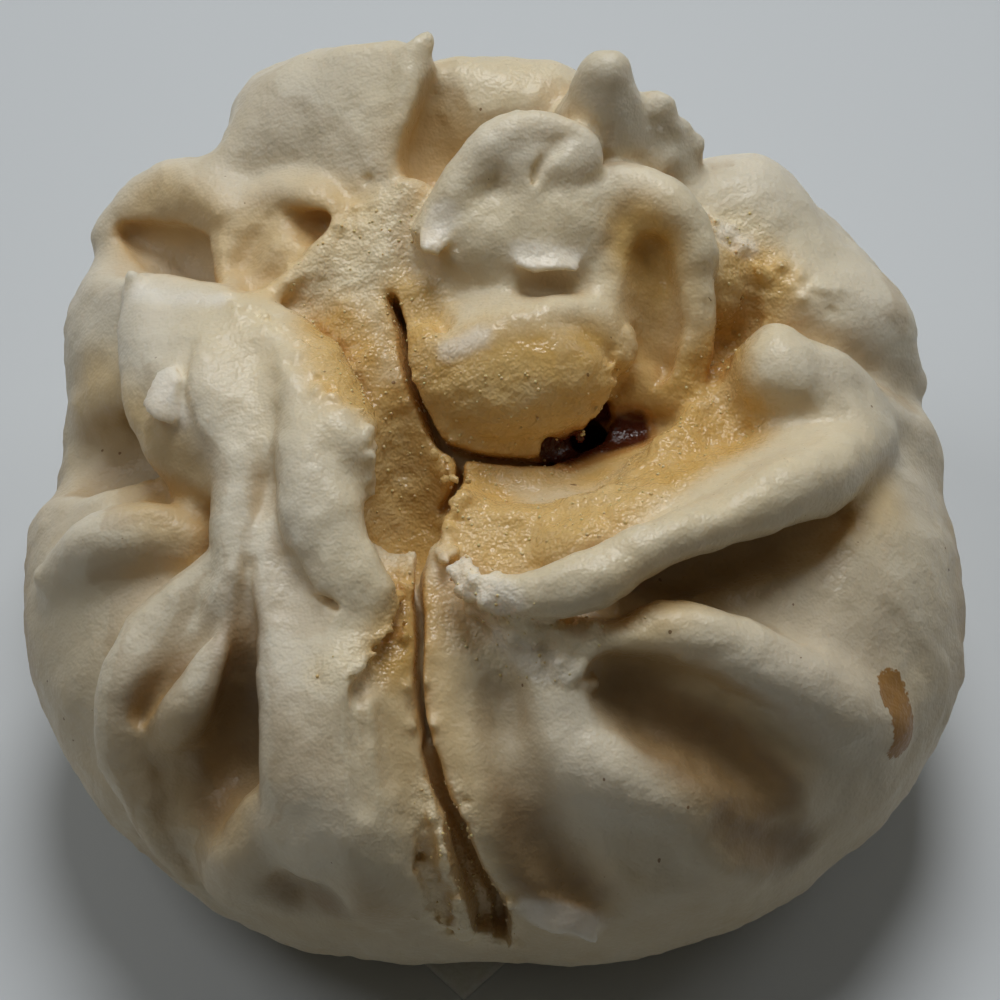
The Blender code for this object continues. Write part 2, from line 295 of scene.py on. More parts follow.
# %% Back lobe and back flap
fold([(-6, 36.5, 51, 6), (-2.5, 36.5, 52, 6.5), (3, 36.5, 52, 6.5), (8.5, 37.5, 50, 6)], 4)
fold([(-5, 38, 56, 1.8), (-1.5, 37.5, 56.5, 2), (4, 36, 56, 1.8)], 1.5)
flap([(-29, 33, 47), (-26.5, 35, 50), (-23.5, 37, 53), (-20, 39, 55), (-15.5, 38.5, 57), (-10.5, 38, 58),
      (-8.5, 36.5, 59)],
     [(-29, 31.5, 46), (-25.5, 30, 47), (-21.5, 28, 48), (-17.5, 27, 49), (-14.5, 26, 50), (-12, 26, 51),
      (-10.5, 26.5, 52)], 2.6, 2, sag=(0, 0, 1.5))
lobe((-18, 40.5, 47), (11, 8, 9), 3)
lobe((-21, 31.5, 43), (8, 6, 6), 2)
fold([(-9, 36, 60, 1.5), (-7.5, 37.5, 61, 1.2), (-6.5, 38.5, 61.5, 0.8)], 0.6)
hollow([(-5.5, 32.5, 58.5, 2.6), (-6.5, 29.5, 56, 3.4), (-6.5, 27.5, 54, 3)], 2.5)

# %% [markdown]
# ## The left of the crown
# A ridge of skin bridges two pockets, and below them a torn plate of crumb slopes to the crack.

# %% Left ridge, pockets and torn plate
fold([(-41.5, 30, 41, 2.6), (-38.5, 31.5, 43.5, 3.4), (-34.5, 32, 45.5, 3.9), (-31, 30, 47, 3.8),
      (-28.5, 26.5, 48, 3), (-26.5, 24, 48, 2)], 2)
# The torn plate, and the hollow between it and the crack
flap([(-23.5, 15.5, 46), (-20, 18.5, 48), (-16, 21.5, 49.5), (-12.5, 23, 51), (-8.5, 24.5, 53)],
     [(-21, 13, 45), (-16.5, 10, 45.5), (-13.5, 7, 46), (-11, 10, 47), (-9.5, 18.5, 49)], 2.2, 1.5)
hollow([(-10, 2.5, 50, 2.2), (-9, -2, 47, 3.8), (-8.5, -6, 44, 4.6), (-8, -9.5, 40.5, 4.6),
        (-8, -12, 37, 2.4)], 1.5)
# Two pockets under the ridge and the wall between them
hollow([(-38, 26, 47, 2), (-34, 22, 49.5, 4), (-31.5, 18, 51, 4.5), (-29.5, 15.5, 49.5, 3)], 2)
hollow([(-39.5, 28.5, 43.5, 1.4), (-36, 26, 44, 2.6), (-32.5, 23.5, 44, 3.6), (-30, 21, 44.5, 3.2),
        (-30, 17, 45, 2.4)], 1.5)
hollow([(-43.5, 26.5, 44.5, 1.2), (-40, 24, 45.5, 1.9), (-36.5, 21.5, 46.5, 1.9), (-33.5, 18.5, 48, 1.4)],
       2)
fold([(-26, 26.5, 49.5, 1.2), (-22.5, 26.5, 51, 1.8), (-19, 25.2, 51.8, 1.8), (-16, 22.8, 52.4, 1)], 2)
fold([(-28.2, 22.5, 47.6, 1.3), (-28, 19.5, 47.2, 1.4), (-27.2, 15.5, 48, 1.3)], 2)
hollow([(-26.3, 19, 50.2, 1.4), (-24.3, 20.3, 49.7, 2.4), (-21.8, 21, 49.2, 2.9),
        (-19.4, 21.8, 49.4, 2.7), (-17.2, 22.3, 50.9, 1.6)], 1.5)
hollow([(-24.5, 16.5, 50.3, 1.6), (-22.8, 17.6, 50.2, 2.2), (-20.8, 18.4, 50.4, 2)], 1.5)
fold([(-15.5, 21, 51.8, 0.8), (-17.5, 18.2, 50.2, 1.2), (-20.5, 16, 49.3, 1.2), (-24, 13.5, 49.3, 1)],
     0.8)

# %% [markdown]
# ## The hood
# At the front left a hood of skin hangs over a valley and ends in strands and one thick finger.

# %% Hood, strands and finger
flap([(-35.5, 16.5, 46.5), (-30, 14, 48), (-24.5, 11.5, 48.5), (-20.5, 8, 49), (-16.5, 2.5, 49.5),
      (-14, -2.5, 49)],
     [(-34, 3, 42.5), (-30.5, -2.5, 43), (-26.5, -6, 44), (-22.5, -6.5, 45), (-18, -8.5, 47),
      (-14.5, -8.5, 47.5)], 2.6, 1.5, sag=(0, -1, 2.4))
lobe((-19.5, 0, 47.5), (6, 6, 4.5), 2)
# The valley under its edge
hollow([(-44.5, 5.5, 34, 3), (-40, 3.5, 36, 4.5), (-36, 3.5, 38, 4.5), (-34, 4, 38, 3.5)], 3)
hollow([(-39.5, 14, 39, 2), (-37, 8, 38, 3), (-34, 1.5, 37, 3.2), (-31.5, -2, 36, 2)], 1.5)
hollow([(-42, 5, 37.5, 3), (-45.5, 5.5, 33.5, 2.6), (-48.3, 6, 28, 1.8), (-49.5, 6.5, 22, 0.8)], 3)
fold([(-36.5, 16, 47, 1.8), (-36.5, 11, 46, 2.2), (-35.5, 5.5, 44.5, 2.4), (-33, 0.5, 43, 2.4),
      (-30, -4.5, 41.5, 2), (-28.5, -9.5, 39, 1.6)], 1)
fold([(-37, 16.5, 48, 1.2), (-37.3, 17, 49.3, 0.6)], 0.8)
# Soft ridges on it, and a groove
fold([(-29, 6, 50, 0.9), (-27.8, 2, 49.5, 1.6), (-26.5, -3, 48, 2), (-25.5, -6, 47, 2.2)], 2)
fold([(-22.5, 6, 50.6, 0.8), (-20.5, 1.5, 51, 1.3), (-19.5, -3, 50.6, 1.4), (-18.5, -7, 50, 1.2)], 2)
hollow([(-30.3, 6, 51.3, 0.6), (-30.4, 2.5, 50.3, 0.7), (-29.6, -2, 49.3, 0.7), (-28.8, -4.5, 48.5, 0.4)],
       1)
hollow([(-24, 3, 53, 0.9), (-23.3, -1.5, 52.8, 1.2), (-22.3, -6, 51.6, 1.4)], 2.5)
# The valley between the two strands
hollow([(-21, -8.5, 49.5, 1), (-20.8, -11, 47.5, 1.6), (-21, -13.5, 45.3, 1.8), (-22.3, -17, 43, 1.4)],
       1.5)
fold([(-23, -3, 48, 2.6), (-24.3, -6, 46.5, 3.1), (-25, -10.5, 45, 3.2), (-24.6, -15, 43.5, 2.8),
      (-25, -18.5, 42, 2.3), (-25.8, -21, 40, 1.6)], 1)
fold([(-17.5, -3, 49.3, 3.2), (-16.8, -8, 48.8, 3.6), (-16.4, -12, 48.3, 3.7), (-15.7, -15.5, 47.4, 3.5),
      (-13.9, -18.5, 46.4, 3), (-12.1, -20.2, 45.6, 2.3)], 0.9)
# The crest of the left side
fold([(-44, -10.5, 33.5, 2), (-39.5, -10, 38.5, 3.2), (-34.5, -9.5, 40.5, 3), (-30.5, -10.5, 40.5, 2)], 3)

# %% [markdown]
# ## The front pleats
# Below the hood the pleats fan out: each is a fold that thins as it runs down and fades into the side.

# %% Front pleat and the folds left of it
fold([(-20.4, -10, 45.5, 1.4), (-20.7, -13.5, 44.8, 1.9), (-21, -17, 43.6, 2.4), (-20.7, -21.5, 41.7, 3),
      (-19.7, -28.5, 39.5, 3.4), (-18.5, -34.5, 36, 3.4), (-18, -38.5, 31, 3.2), (-16, -40, 26, 2.6)],
     1.2)
fold([(-15, -19, 41.5, 4), (-14, -28.5, 39, 5), (-13, -37, 34, 5), (-11.5, -41, 27, 4)], 4)
# The broad fold on its left, and the bulge inside it
fold([(-27.5, -15.5, 41.5, 2.2), (-31.5, -19, 38, 3.3), (-34.5, -23, 35.5, 3.6), (-36, -27, 31.5, 3.3),
      (-35, -30.5, 27, 2.8), (-32.5, -33.5, 22.5, 2.4), (-30, -35.5, 18.5, 1.8)], 1.2)
fold([(-25.5, -21.5, 40, 2.8), (-27, -25, 38, 4), (-29.5, -27, 35, 3.8), (-31.8, -28, 31.5, 2.6)], 2)
hollow([(-25.8, -20.5, 43, 0.6), (-28, -22.8, 41.4, 0.9), (-30.5, -25, 39.3, 1),
        (-33.3, -26.8, 36.2, 0.7), (-34.3, -27.6, 34.6, 0.4)], 1.5)
# The hollow below, with a crease at its foot
hollow([(-24, -32, 38, 3.6), (-27.5, -34.5, 33.5, 4), (-30.5, -36, 29.5, 3)], 2)
hollow([(-22, -29.5, 37.5, 0.9), (-23.3, -33, 33, 1.5), (-25, -36, 30, 1.5), (-27, -38, 26, 0.9)], 1)
hollow([(-28.3, -37.3, 26, 0.8), (-29.5, -36.3, 24, 0.6)], 1)
fold([(-21.5, -36.5, 31, 2.6), (-23.5, -38, 26, 3.2), (-25, -38, 21, 2.6)], 2.5)
hollow([(-19, -42, 25.5, 2.2), (-16.5, -44, 26.5, 2)], 2)
fold([(-25.8, -19.5, 41.5, 2.2), (-26.3, -21.5, 40, 1.8)], 1.2)
hollow([(-23.5, -17, 45.6, 0.5), (-23.6, -20.5, 43.7, 0.9), (-23.7, -24, 41.7, 1.5),
        (-23.9, -27, 38.8, 2.3), (-24.5, -29.5, 35.6, 3.1), (-25.4, -32, 32.3, 3)], 1.4)
fold([(-21.3, -15.5, 44.9, 1.3), (-21.3, -18.5, 44, 1.6), (-20.9, -23, 42.6, 2),
      (-20.3, -28.5, 40.4, 2.4), (-19.8, -34, 36.8, 2.6), (-19.4, -38, 31.5, 2.5)], 0.6)
# The torn sheet below the finger
flap([(-19, -20.5, 42.5), (-15.5, -22, 43.8), (-12.5, -22, 44.2), (-9.6, -21.5, 43.4)],
     [(-18, -26, 42.2), (-15.3, -28, 42), (-12.8, -27.5, 41.9), (-10.2, -24.8, 42)], 1, 1)
hollow([(-18.6, -17.5, 47.3, 0.4), (-17, -20, 45.9, 0.5), (-14.5, -22.3, 45.4, 0.5)], 0.8)
hollow([(-8.2, -18.5, 43.4, 0.8), (-8.9, -22, 43, 1.2), (-9.6, -25.5, 42.7, 1.3), (-10.7, -28, 42.5, 1.2),
        (-12.4, -30.4, 42.3, 0.8)], 0.4)

# %% [markdown]
# ## The torn knob and its tuft
# The middle of the crown is a knob of torn dough with a lip of skin, crowned by a loop of folds.

# %% Knob and tuft
lobe((1, 9, 42), (10.5, 7.5, 10), 1.5)
lobe((2, 5.5, 45), (10, 5.5, 7), 1.5)
lobe((-5.5, 7, 45), (4.5, 5, 6), 1.5)
lobe((-6.5, 14, 44), (5, 6, 7), 1.5)
lobe((9.5, 11, 44), (4, 5, 6), 1.5)
lobe((-8, 9.5, 46.8), (2.2, 3, 3), 0.5)
lobe((-7.6, 5.5, 45.6), (2.2, 2.6, 3), 0.5)
hollow([(-6.2, 12.8, 51.4, 0.6), (-5.6, 10, 51, 0.8), (-5.2, 7.6, 50.4, 0.5)], 1)
lobe((1.5, 21, 48), (10, 9, 9), 2)
lobe((6, 22, 49), (8, 8, 9), 2)
lobe((-1, 20.5, 52), (6, 6, 5.5), 2)
fold([(11.5, 17.5, 49.3, 3.2), (10.8, 14, 47.8, 3.3), (9.5, 11, 46.8, 3.2)], 1.5)
# The lip of skin over the torn face, and the recess behind it
hollow([(3.6, 12.2, 52, 0.9), (5.2, 12.2, 51.6, 1.1), (6.6, 12.8, 51.8, 0.8)], 1)
fold([(-5, 5.6, 49.8, 1), (-2, 6.5, 50.3, 1.6), (1.5, 7.6, 50.6, 2.1), (4.5, 9, 50.3, 2.3),
      (8, 10.3, 49.3, 2.2), (11, 9.5, 47.8, 1.9), (12.8, 8, 46.5, 1.5)], 1.5)
# The thumb on top and the buds beside it
fold([(11.2, 31, 63.2, 2.8), (11.2, 31, 60, 3.8), (11, 30.5, 56, 5)], 1)
fold([(16.4, 31.5, 58.4, 2), (16.8, 31, 55.5, 2.8), (17, 30.5, 52.5, 3.4)], 0.8)
fold([(19.4, 31.5, 55.9, 1.2), (19.2, 31, 53, 2.2)], 0.8)
fold([(14.2, 29.2, 57, 1.4), (14.8, 28.8, 54.5, 2.4)], 0.8)
lobe((18.1, 30.4, 57), (1.2, 1.2, 1.2), 0.5)
lobe((20.9, 31, 54), (1.2, 1.2, 1.2), 0.5)
lobe((17.6, 28.8, 54.5), (1.6, 1.4, 1.4), 0.5)
lobe((17, 30, 51), (5.5, 4.5, 5), 1.5)
# The loop, a soft roll turned back on itself, and the roll that comes down inside it
lobe((4, 23, 53.5), (5.5, 4, 4.5), 1)
fold([(-5.5, 19.5, 53.5, 2.8), (-3.5, 21.5, 56.3, 2.8), (-0.8, 23.8, 59, 2.7), (2.5, 25.6, 60, 2.5),
      (6, 26.2, 60, 2.2), (8.4, 25.4, 59, 2.1), (8.7, 23.9, 57.7, 2.2), (7, 22.9, 56.8, 2.2),
      (5, 22, 56, 2.2)], 0.7)
lobe((5, 23, 57), (4.5, 2.6, 3.6), 1)
lobe((5.8, 24.4, 58.6), (3.2, 1.8, 2), 0.8)
fold([(2, 25, 59.8, 1.8), (2.2, 23.4, 58.8, 2.3), (2.6, 21.6, 57, 2.5), (2.2, 19.4, 55, 2.6)], 1)
fold([(8.4, 24.6, 58.8, 1.9), (6.6, 23.2, 57.6, 2.2), (5.4, 22, 56.3, 2.2)], 0.6)
lobe((6.2, 24.6, 58.9), (2.6, 1.6, 1.8), 0.8)
hollow([(8, 24.7, 61.3, 0.2), (6.9, 24, 61.2, 0.4), (5.6, 23, 60.6, 0.45), (4.3, 21.8, 59.4, 0.45),
        (3.6, 20.3, 57.8, 0.3)], 0.8)

# %% [markdown]
# ## The right of the crown
# A fold swirls down from the tuft to the hole, where the meat shows. A creased sheet of skin lies
# to the right of it, and a thick roll curls round the front.

# %% Swirl
lobe((26.5, 29.5, 42), (9, 8, 9), 3)
lobe((17.5, 26.5, 43), (7, 9, 9), 2)
lobe((18, 19.5, 38), (6, 6, 8), 2)
fold([(8.6, 21, 53.6, 2.2), (11, 22.6, 54.1, 2.7), (13.8, 23.3, 54.4, 3), (17, 21.5, 54.4, 3.1),
      (19.7, 19.5, 53.3, 2.7), (20.8, 17, 51.6, 2.3)], 1)
lobe((14.5, 21.5, 50), (5, 4.5, 4.5), 1.5)
fold([(20.8, 17, 51.8, 2.3), (20.5, 14, 49.8, 2.3), (20, 11.3, 47.4, 2.3), (19.5, 8.8, 44.9, 2.4),
      (18.8, 6.8, 42.6, 2.6)], 1)
lobe((17, 14, 44), (4.5, 4, 6), 1.5)
fold([(15, 17, 48.2, 2.4), (14.8, 14.5, 46, 2.6), (14.8, 11, 43.2, 2.6), (15, 8.5, 40.8, 2)], 2.5)
fold([(16, 11, 40.8, 2.3), (16.6, 9, 39.6, 2.2)], 0.8)
lobe((15.2, 9.6, 38.5), (2.4, 2.6, 4), 0.8)
hollow([(25.5, 20, 47.5, 2.2), (26, 16, 44.5, 2.8), (24, 12.5, 43.5, 2.4)], 1)
hollow([(16.4, 17, 52, 1.8), (16.2, 15, 51.2, 2.2), (16.2, 12.5, 49.8, 2.4), (16.2, 10.5, 47.8, 2.4),
        (16.2, 8.5, 45.4, 2)], 1.3)
# The creased sheet to the right
lobe((35, 19, 36), (11, 8, 10), 3)
lobe((36.5, 10, 29), (10.5, 10, 9), 4)
fold([(28.5, 21, 46, 1.8), (32, 18.5, 45, 2), (37, 17, 42.5, 2), (42, 16.5, 38, 2), (45.5, 16, 33, 1.6)],
     1.5)

# The hole down to the filling
hollow([(6.5, 1, 41, 1.4), (9.5, 3.5, 40.5, 2), (11.5, 6.5, 40, 1.7)], 0.6)
lobe((15.6, 8.4, 39.5), (3.2, 3.2, 5), 0.8)
hollow([(13, 3.8, 41, 0.6), (15, 3.8, 41, 0.8), (16.5, 4.2, 41.5, 0.5)], 0.8)

# %% Right roll
fold([(-3.6, -17.6, 45.4, 0.8), (-1.2, -20.6, 46.4, 1.5), (3, -22, 47, 2.3), (8.5, -21, 47.5, 2.7),
      (14, -17.8, 47.9, 2.7), (20, -14.5, 47.8, 2.9), (27, -10, 46.5, 3.4), (33.5, -4.5, 43.6, 3.6),
      (37, 2.5, 40.5, 3.2)], 2.2)
fold([(27, 7, 44.5, 2.4), (31.5, 9, 44, 2.6), (36, 8.5, 42, 2.6), (38, 6.5, 40, 2.6)], 2)
lobe((32, 4, 38), (9, 6, 8), 3)
fold([(8, -14, 42, 4), (20, -9, 42.5, 4.6), (30, -3, 41, 4.5)], 3)
hollow([(10.5, -22, 43, 1.4), (15, -19, 43, 2.4), (21.5, -15, 42, 2.9), (28.5, -11.5, 41.2, 2.3),
        (34.5, -7.5, 40.2, 1)], 1.6)
# The torn sheet that hangs from its left end
fold([(-1, -20, 43.5, 1.8), (3, -22.5, 43, 2.2), (7, -23.5, 42, 2.2), (9.5, -24.5, 41, 1.8)], 1.2)
fold([(2, -23, 41, 1.6), (5, -25.5, 40, 2), (8, -28, 39, 1.8)], 1.5)
hollow([(5.5, -21.8, 44, 0.6), (8, -23.2, 43.2, 0.9), (10.5, -24.8, 42.2, 0.9)], 0.6)

# %% [markdown]
# ## The front right
# Below the roll a broad ridge runs out to the right side, and the skin sinks in deep under it.

# %% Ridge and valleys of the front right
fold([(10.5, -24.3, 41.8, 1.7), (16.5, -23, 42.3, 2.5), (22.5, -23.8, 40.9, 2.8), (28.5, -25, 38, 3),
      (34.5, -25.5, 33.5, 3), (39, -25, 28.5, 2.6)], 3)
hollow([(11.5, -26.5, 41, 1.8), (14, -29, 39.8, 3.6), (19, -32.3, 37.4, 4.7), (24.5, -34.5, 33.8, 4.6),
        (29, -36, 28.5, 2.8)], 2)
fold([(6, -29.5, 37.5, 2), (9.5, -33, 36, 2.6), (14, -35, 34, 2.8), (19, -36, 31.5, 2.5),
      (24, -36.5, 27.5, 1.8)], 5)
hollow([(23, -39, 31.5, 1.8), (26.5, -38.5, 28, 2.4), (30.5, -37, 24, 1.6)], 3)
hollow([(1.5, -29, 40, 1.6), (2.5, -36, 36.5, 2.2), (5.5, -41, 31.5, 2.2), (10.5, -43.5, 25.5, 1.6)], 3)

# %% [markdown]
# ## Creases and streaks
# Thin creases are hollows less than a millimetre deep, with a soft edge.

# %% Creases in the skin, and a pit in the back flap
hollow([(-10, -24, 43.3, 0.5), (-9.5, -30, 41.5, 0.9), (-8.5, -36.5, 37.5, 0.5)], 2)
hollow([(-12.5, -29, 43.5, 0.4), (-12, -33, 42, 0.8), (-11, -39.5, 38, 0.5)], 2)
hollow([(-13, 26, 54.5, 0.8)], 0.3)

# %% [markdown]
# ## The hidden back and the room inside
# Pleats run down all round a bun, so the back gets them too: one loop over bearings in degrees,
# each fold a little different. Down is an angle too, from the crown. The filling lies in its own
# room, which the hole under the knob opens into.

# %% Back pleats and the room for the filling
BACK_PLEATS = (12, 38, 62, 88, 112, 138, 165)
PLEAT_TOP = 38
dice = np.random.default_rng(SEED)
for bearing in BACK_PLEATS:
    turn = math.radians(bearing + dice.uniform(-4, 4))
    length = dice.uniform(38, 55)
    path = []
    for down in np.linspace(PLEAT_TOP, PLEAT_TOP + length, 5):
        reach = math.sin(math.radians(down))
        height = 22 + 30 * math.cos(math.radians(down))
        radius = 4.4 * (1.1 - 0.8 * (down - PLEAT_TOP) / length)
        path.append((47 * reach * math.cos(turn), 2 + 46 * reach * math.sin(turn), height, radius))
    fold(path, 2)
fold([(-17, 39, 42, 6.5), (-18.5, 41.5, 34, 5), (-20, 41.5, 26, 3.4), (-21, 40.5, 18, 1.6)], 5)
fold([(-30, 36, 40, 3.4), (-32, 37, 32, 3.4), (-32.5, 36.5, 24, 2)], 4)
dent(FILLING_CENTRE, [radius + 1.2 for radius in FILLING_RADII], 0.5)
hollow([(10, 3.5, 41, 1.9), (10.8, 5.5, 36, 2.1), (11, 6.5, 28, 3)], 0.6)
print("room for the filling of radii", FILLING_RADII)

# %% [markdown]
# ## Torn, soaked and stained zones, and painted shade
# Where the skin has torn, the crumb shows; where juice has run, it is yellow; round the hole the
# sauce is dark. Fat has made the crown oily, and shreds of skin have dried white. Pockets and folds
# get painted warm shade for the light that bounces about in them, the deep valleys get painted dark
# shade, and a few lips and edges get painted highlights beside the dry shreds. These zones are
# painted into layers of the same grid, as chains of soft balls, so that both the shape and the
# colours can follow them.

# %% Painting the zones
PLATE_EDGE = [(-16, 9, 48, 2.5), (-13, 0, 50.5, 3), (-11, -0.5, 43.5, 3.5),
              (-9.5, -4, 40, 3.5), (-9, -7.5, 36.5, 3)]
TORN = (
    [(-8.5, 13.5, 49.5, 1.5), (-7.5, 9.5, 48.5, 2), (-6.5, 6.5, 48, 1.5)],
    [(-8.5, 22.5, 54, 2), (-11, 19.5, 52.5, 3), (-14.5, 17, 51, 3), (-17.5, 14, 49.5, 2.5)],
    PLATE_EDGE,
    [(-8.5, 13, 49, 2.5), (-7.5, 8.5, 48.5, 2.5), (-5, 2.5, 47, 3), (-0.5, 0.5, 44.5, 3.5),
     (5, 0.5, 43, 3.5)],
    [(-3, 1.5, 46, 3.5), (2, 2.5, 46, 4), (7, 4, 45.5, 3.5), (11, 6, 45, 2.5)],
    [(-3.5, -4, 42.5, 3), (0, -11, 44, 3.5), (4.5, -12.5, 44.5, 3.5), (9.5, -10, 45.5, 4),
     (14.5, -6, 45, 4), (20, -1.5, 44.5, 3.5), (24, 2, 44, 2.5)],
    [(25.5, 21.5, 49, 2.5), (26.5, 17.5, 46, 3), (25.5, 14.5, 42.5, 3), (23, 6.5, 44.5, 3)],
    [(-5.5, -36, 33, 2), (-4, -39.5, 30.5, 2.5), (-3, -41.5, 25.5, 3), (-1, -42.5, 20.5, 2.5)],
    [(-2, -20.5, 42, 2), (1.5, -23.5, 41, 2), (6, -25.5, 40.5, 2)],
    [(-3.5, -18, 46, 1.2), (-1, -21.5, 46.5, 1.2), (3, -24.2, 46, 1), (8, -24, 44.5, 1),
     (13, -22.5, 44.5, 1)],
    [(-9.5, -21, 44, 0.8), (-9.8, -24.5, 43, 0.8), (-12, -27.5, 43, 0.8), (-15.5, -28.5, 43, 0.6)],
    [(-9, -14, 45, 1), (-8.5, -18, 43.5, 1)],
)
SOAKED = (
    [(-8.5, 13, 49.5, 1.2), (-7.5, 9.5, 48.5, 1.8), (-6.5, 6.5, 48, 1.2)],
    [(-8.4, -19, 42.8, 0.8), (-9, -22.5, 42.2, 1), (-9.6, -25.5, 42, 0.8)],
    PLATE_EDGE,
    [(-5, 2.5, 47, 3), (-0.5, 0.5, 44.5, 3.5), (5, 0.5, 43, 3.5)],
    [(-1.5, 4, 48, 3), (4, 5, 48, 3), (9, 6, 47, 3)],
    [(-3.5, -4, 42.5, 3), (0, -11, 44, 3.5), (4.5, -12.5, 44.5, 3.5), (9.5, -10, 45.5, 3),
     (14.5, -6, 45, 3), (20, -1.5, 44.5, 3), (24, 2, 44, 2.5)],
    [(26.5, 17.5, 46, 3), (25.5, 14.5, 42.5, 3), (23, 6.5, 44.5, 3)],
    [(15.5, 19, 53, 2), (17, 17.5, 45, 2.5), (15.5, 14, 41, 2.5), (12, 7, 43, 2.5)],
    [(9, -1, 42, 2), (14, 1.5, 42, 2.5), (18, 4, 42.5, 2.5)],
)
SAUCED = (
    [(7, 3, 39, 2), (10, 8.5, 35.5, 2), (13.5, 7.5, 37, 2), (13, 8, 39, 1.5)],
    [(7.5, 0.5, 41, 0.8), (11, 2.5, 41, 1), (14.5, 3.6, 40.5, 0.8)],
)
# Painted warm shade: the orange of light bouncing about in pockets, folds and valleys
WARM_BOUNCE_SHADE = (
    [(-38, 27.5, 45, 1), (-34, 25, 46, 2), (-30.5, 21, 47, 2)],
    [(-23, 16.5, 49.5, 1.5), (-20.5, 19, 49.5, 2), (-17.5, 21.5, 51, 1.5)],
    [(17, 17, 51, 1.5), (17, 13, 49.5, 2), (16.5, 9.5, 46, 2)],
    [(-35.5, 27, 47, 3), (-31.5, 23, 48.5, 3), (-29, 20.5, 48, 2.5)],
    [(-24.5, 21.5, 48, 3), (-20, 23.5, 48, 3), (-16, 21.5, 51.5, 2.5)],
    [(-40.5, 10.5, 37, 3), (-34.5, -2, 43.5, 3), (-31, -7.5, 42.5, 3)],
    [(14, -21.5, 45, 2), (20.5, -13.5, 39.5, 2.5), (29, -9, 38.5, 2.5), (36.5, -4, 38, 2.5)],
    [(14, -24, 39, 3), (19, -28.5, 35, 4), (24, -33.5, 31, 4)],
    [(-28.5, -29.5, 33, 3), (-25, -31, 32, 3), (-26.5, -34, 29.5, 3)],
    [(-7, -23, 42, 2), (-6.5, -31, 39, 2), (-5, -36, 34, 2), (-1, -40, 27, 2.5), (6, -42.5, 26, 2)],
    [(16.3, 17, 50, 2.5), (16.4, 13, 47.5, 2.5), (16.3, 10, 44.5, 2.5)],
    [(-6, 30, 54, 3), (-8, 33, 52, 3)],
)
# Dry shreds of skin, and painted highlights on the lip, the roll's torn end and a few edges
DRY_SHREDS_AND_HIGHLIGHTS = (
    [(3, 14.5, 54.8, 1), (5.6, 14, 55, 1.2), (8.4, 14.4, 53.8, 1)],
    [(-5, 18.5, 56.6, 1), (-6, 16, 56.2, 1)],
    [(-32.6, 2, 50.6, 1), (-33, -1, 49.8, 1.2), (-31.4, -2, 49.4, 1)],
    [(3.4, -44, 24.2, 1.2), (6, -44.6, 23.8, 1.6), (9.4, -44.6, 22.4, 1.4)],
    [(-3.6, -17.6, 46, 1), (-1.2, -21, 47.4, 1.2), (1.5, -23.5, 47.8, 1)],
    [(-4.5, 5, 51.4, 0.8), (-1.5, 6, 52.2, 0.8)],
    [(-36.5, 14.5, 50, 0.8), (-30, 12.5, 51.2, 0.6), (-27.5, 12, 51, 0.6)],
    [(1, -24, 42.5, 1), (4, -26, 41.5, 1.2), (7, -27, 41.5, 1)],
    [(24, 22, 50.5, 0.8), (26.5, 21, 49.5, 0.8)],
)
# Painted dark shade on the floors of the deepest valleys
DEEP_VALLEY_SHADE = (
    [(13, -27.5, 39.5, 1.2), (17, -31, 37, 2.4), (22, -33, 34.5, 3), (26.5, -33.5, 30, 2)],
    [(2, -37, 35.5, 0.8), (3.5, -40, 31.5, 1.4), (5.5, -42, 28, 1.6), (8.5, -43, 25, 1)],
    [(23, -37.5, 30.5, 0.8), (26, -37.5, 27, 1), (30, -36.5, 23, 0.8)],
    [(12, -20.5, 43, 0.8), (20, -16, 42, 1.2), (28, -12, 41, 1)],
    [(-23.8, -23, 41.5, 0.5), (-24, -26, 39, 1.2), (-24.8, -29.5, 35, 2), (-27, -34, 29.5, 1.4)],
    [(-35.5, 5, 38.5, 0.4), (-34.5, 2, 37.5, 0.8), (-32.5, -2, 37, 0.6)],
    [(-30.5, -25, 38.5, 0.2), (-33, -27, 35.5, 0.3)],
    [(-20, -43, 24, 1), (-17, -44, 24.5, 1)],
)
OILY = (
    [(-9, 16, 50, 8), (2, 12, 50, 9), (14, 14, 47, 9), (24, 14, 45, 7)],
    [(-20, 8, 49, 5), (-10, -4, 45, 7), (2, -12, 45, 8), (16, -12, 44, 8), (28, -6, 42, 7)],
    [(-8, -18, 43, 4), (-7, -30, 40, 4), (-3, -38, 32, 4), (2, -42, 24, 4)],
    [(-6, 33, 52, 5), (4, 33, 54, 5)],
)
for layer, strokes, soft in (
    ("torn", TORN, 2.5),
    ("soaked", SOAKED, 4.5),
    ("sauced", SAUCED, 2.5),
    ("warm_bounce_shade", WARM_BOUNCE_SHADE, 5),
    ("dry_and_highlight", DRY_SHREDS_AND_HIGHLIGHTS, 1.2),
    ("deep_valley_shade", DEEP_VALLEY_SHADE, 4),
    ("oily", OILY, 11),
):
    for stroke in strokes:
        dough.paint(layer, stroke, soft)
    print(layer, "covers", int((dough.layers[layer] > 0.5).sum()), "cells")

# %% [markdown]
# ## Uneven skin and crumb
# Real skin is never quite smooth, and crumb is full of pits. Noise is added to the distances near
# the surface: wide and faint everywhere, fine and strong where the dough is torn. Each amount is in
# millimetres, followed by the size of the bumps and a seed.

# %% Noise near the surface
CROWN = (2, 6)
cells, places = dough.shell(2.5)
torn = dough.layers["torn"][cells]
near_crown = dough.layers["oily"][cells]
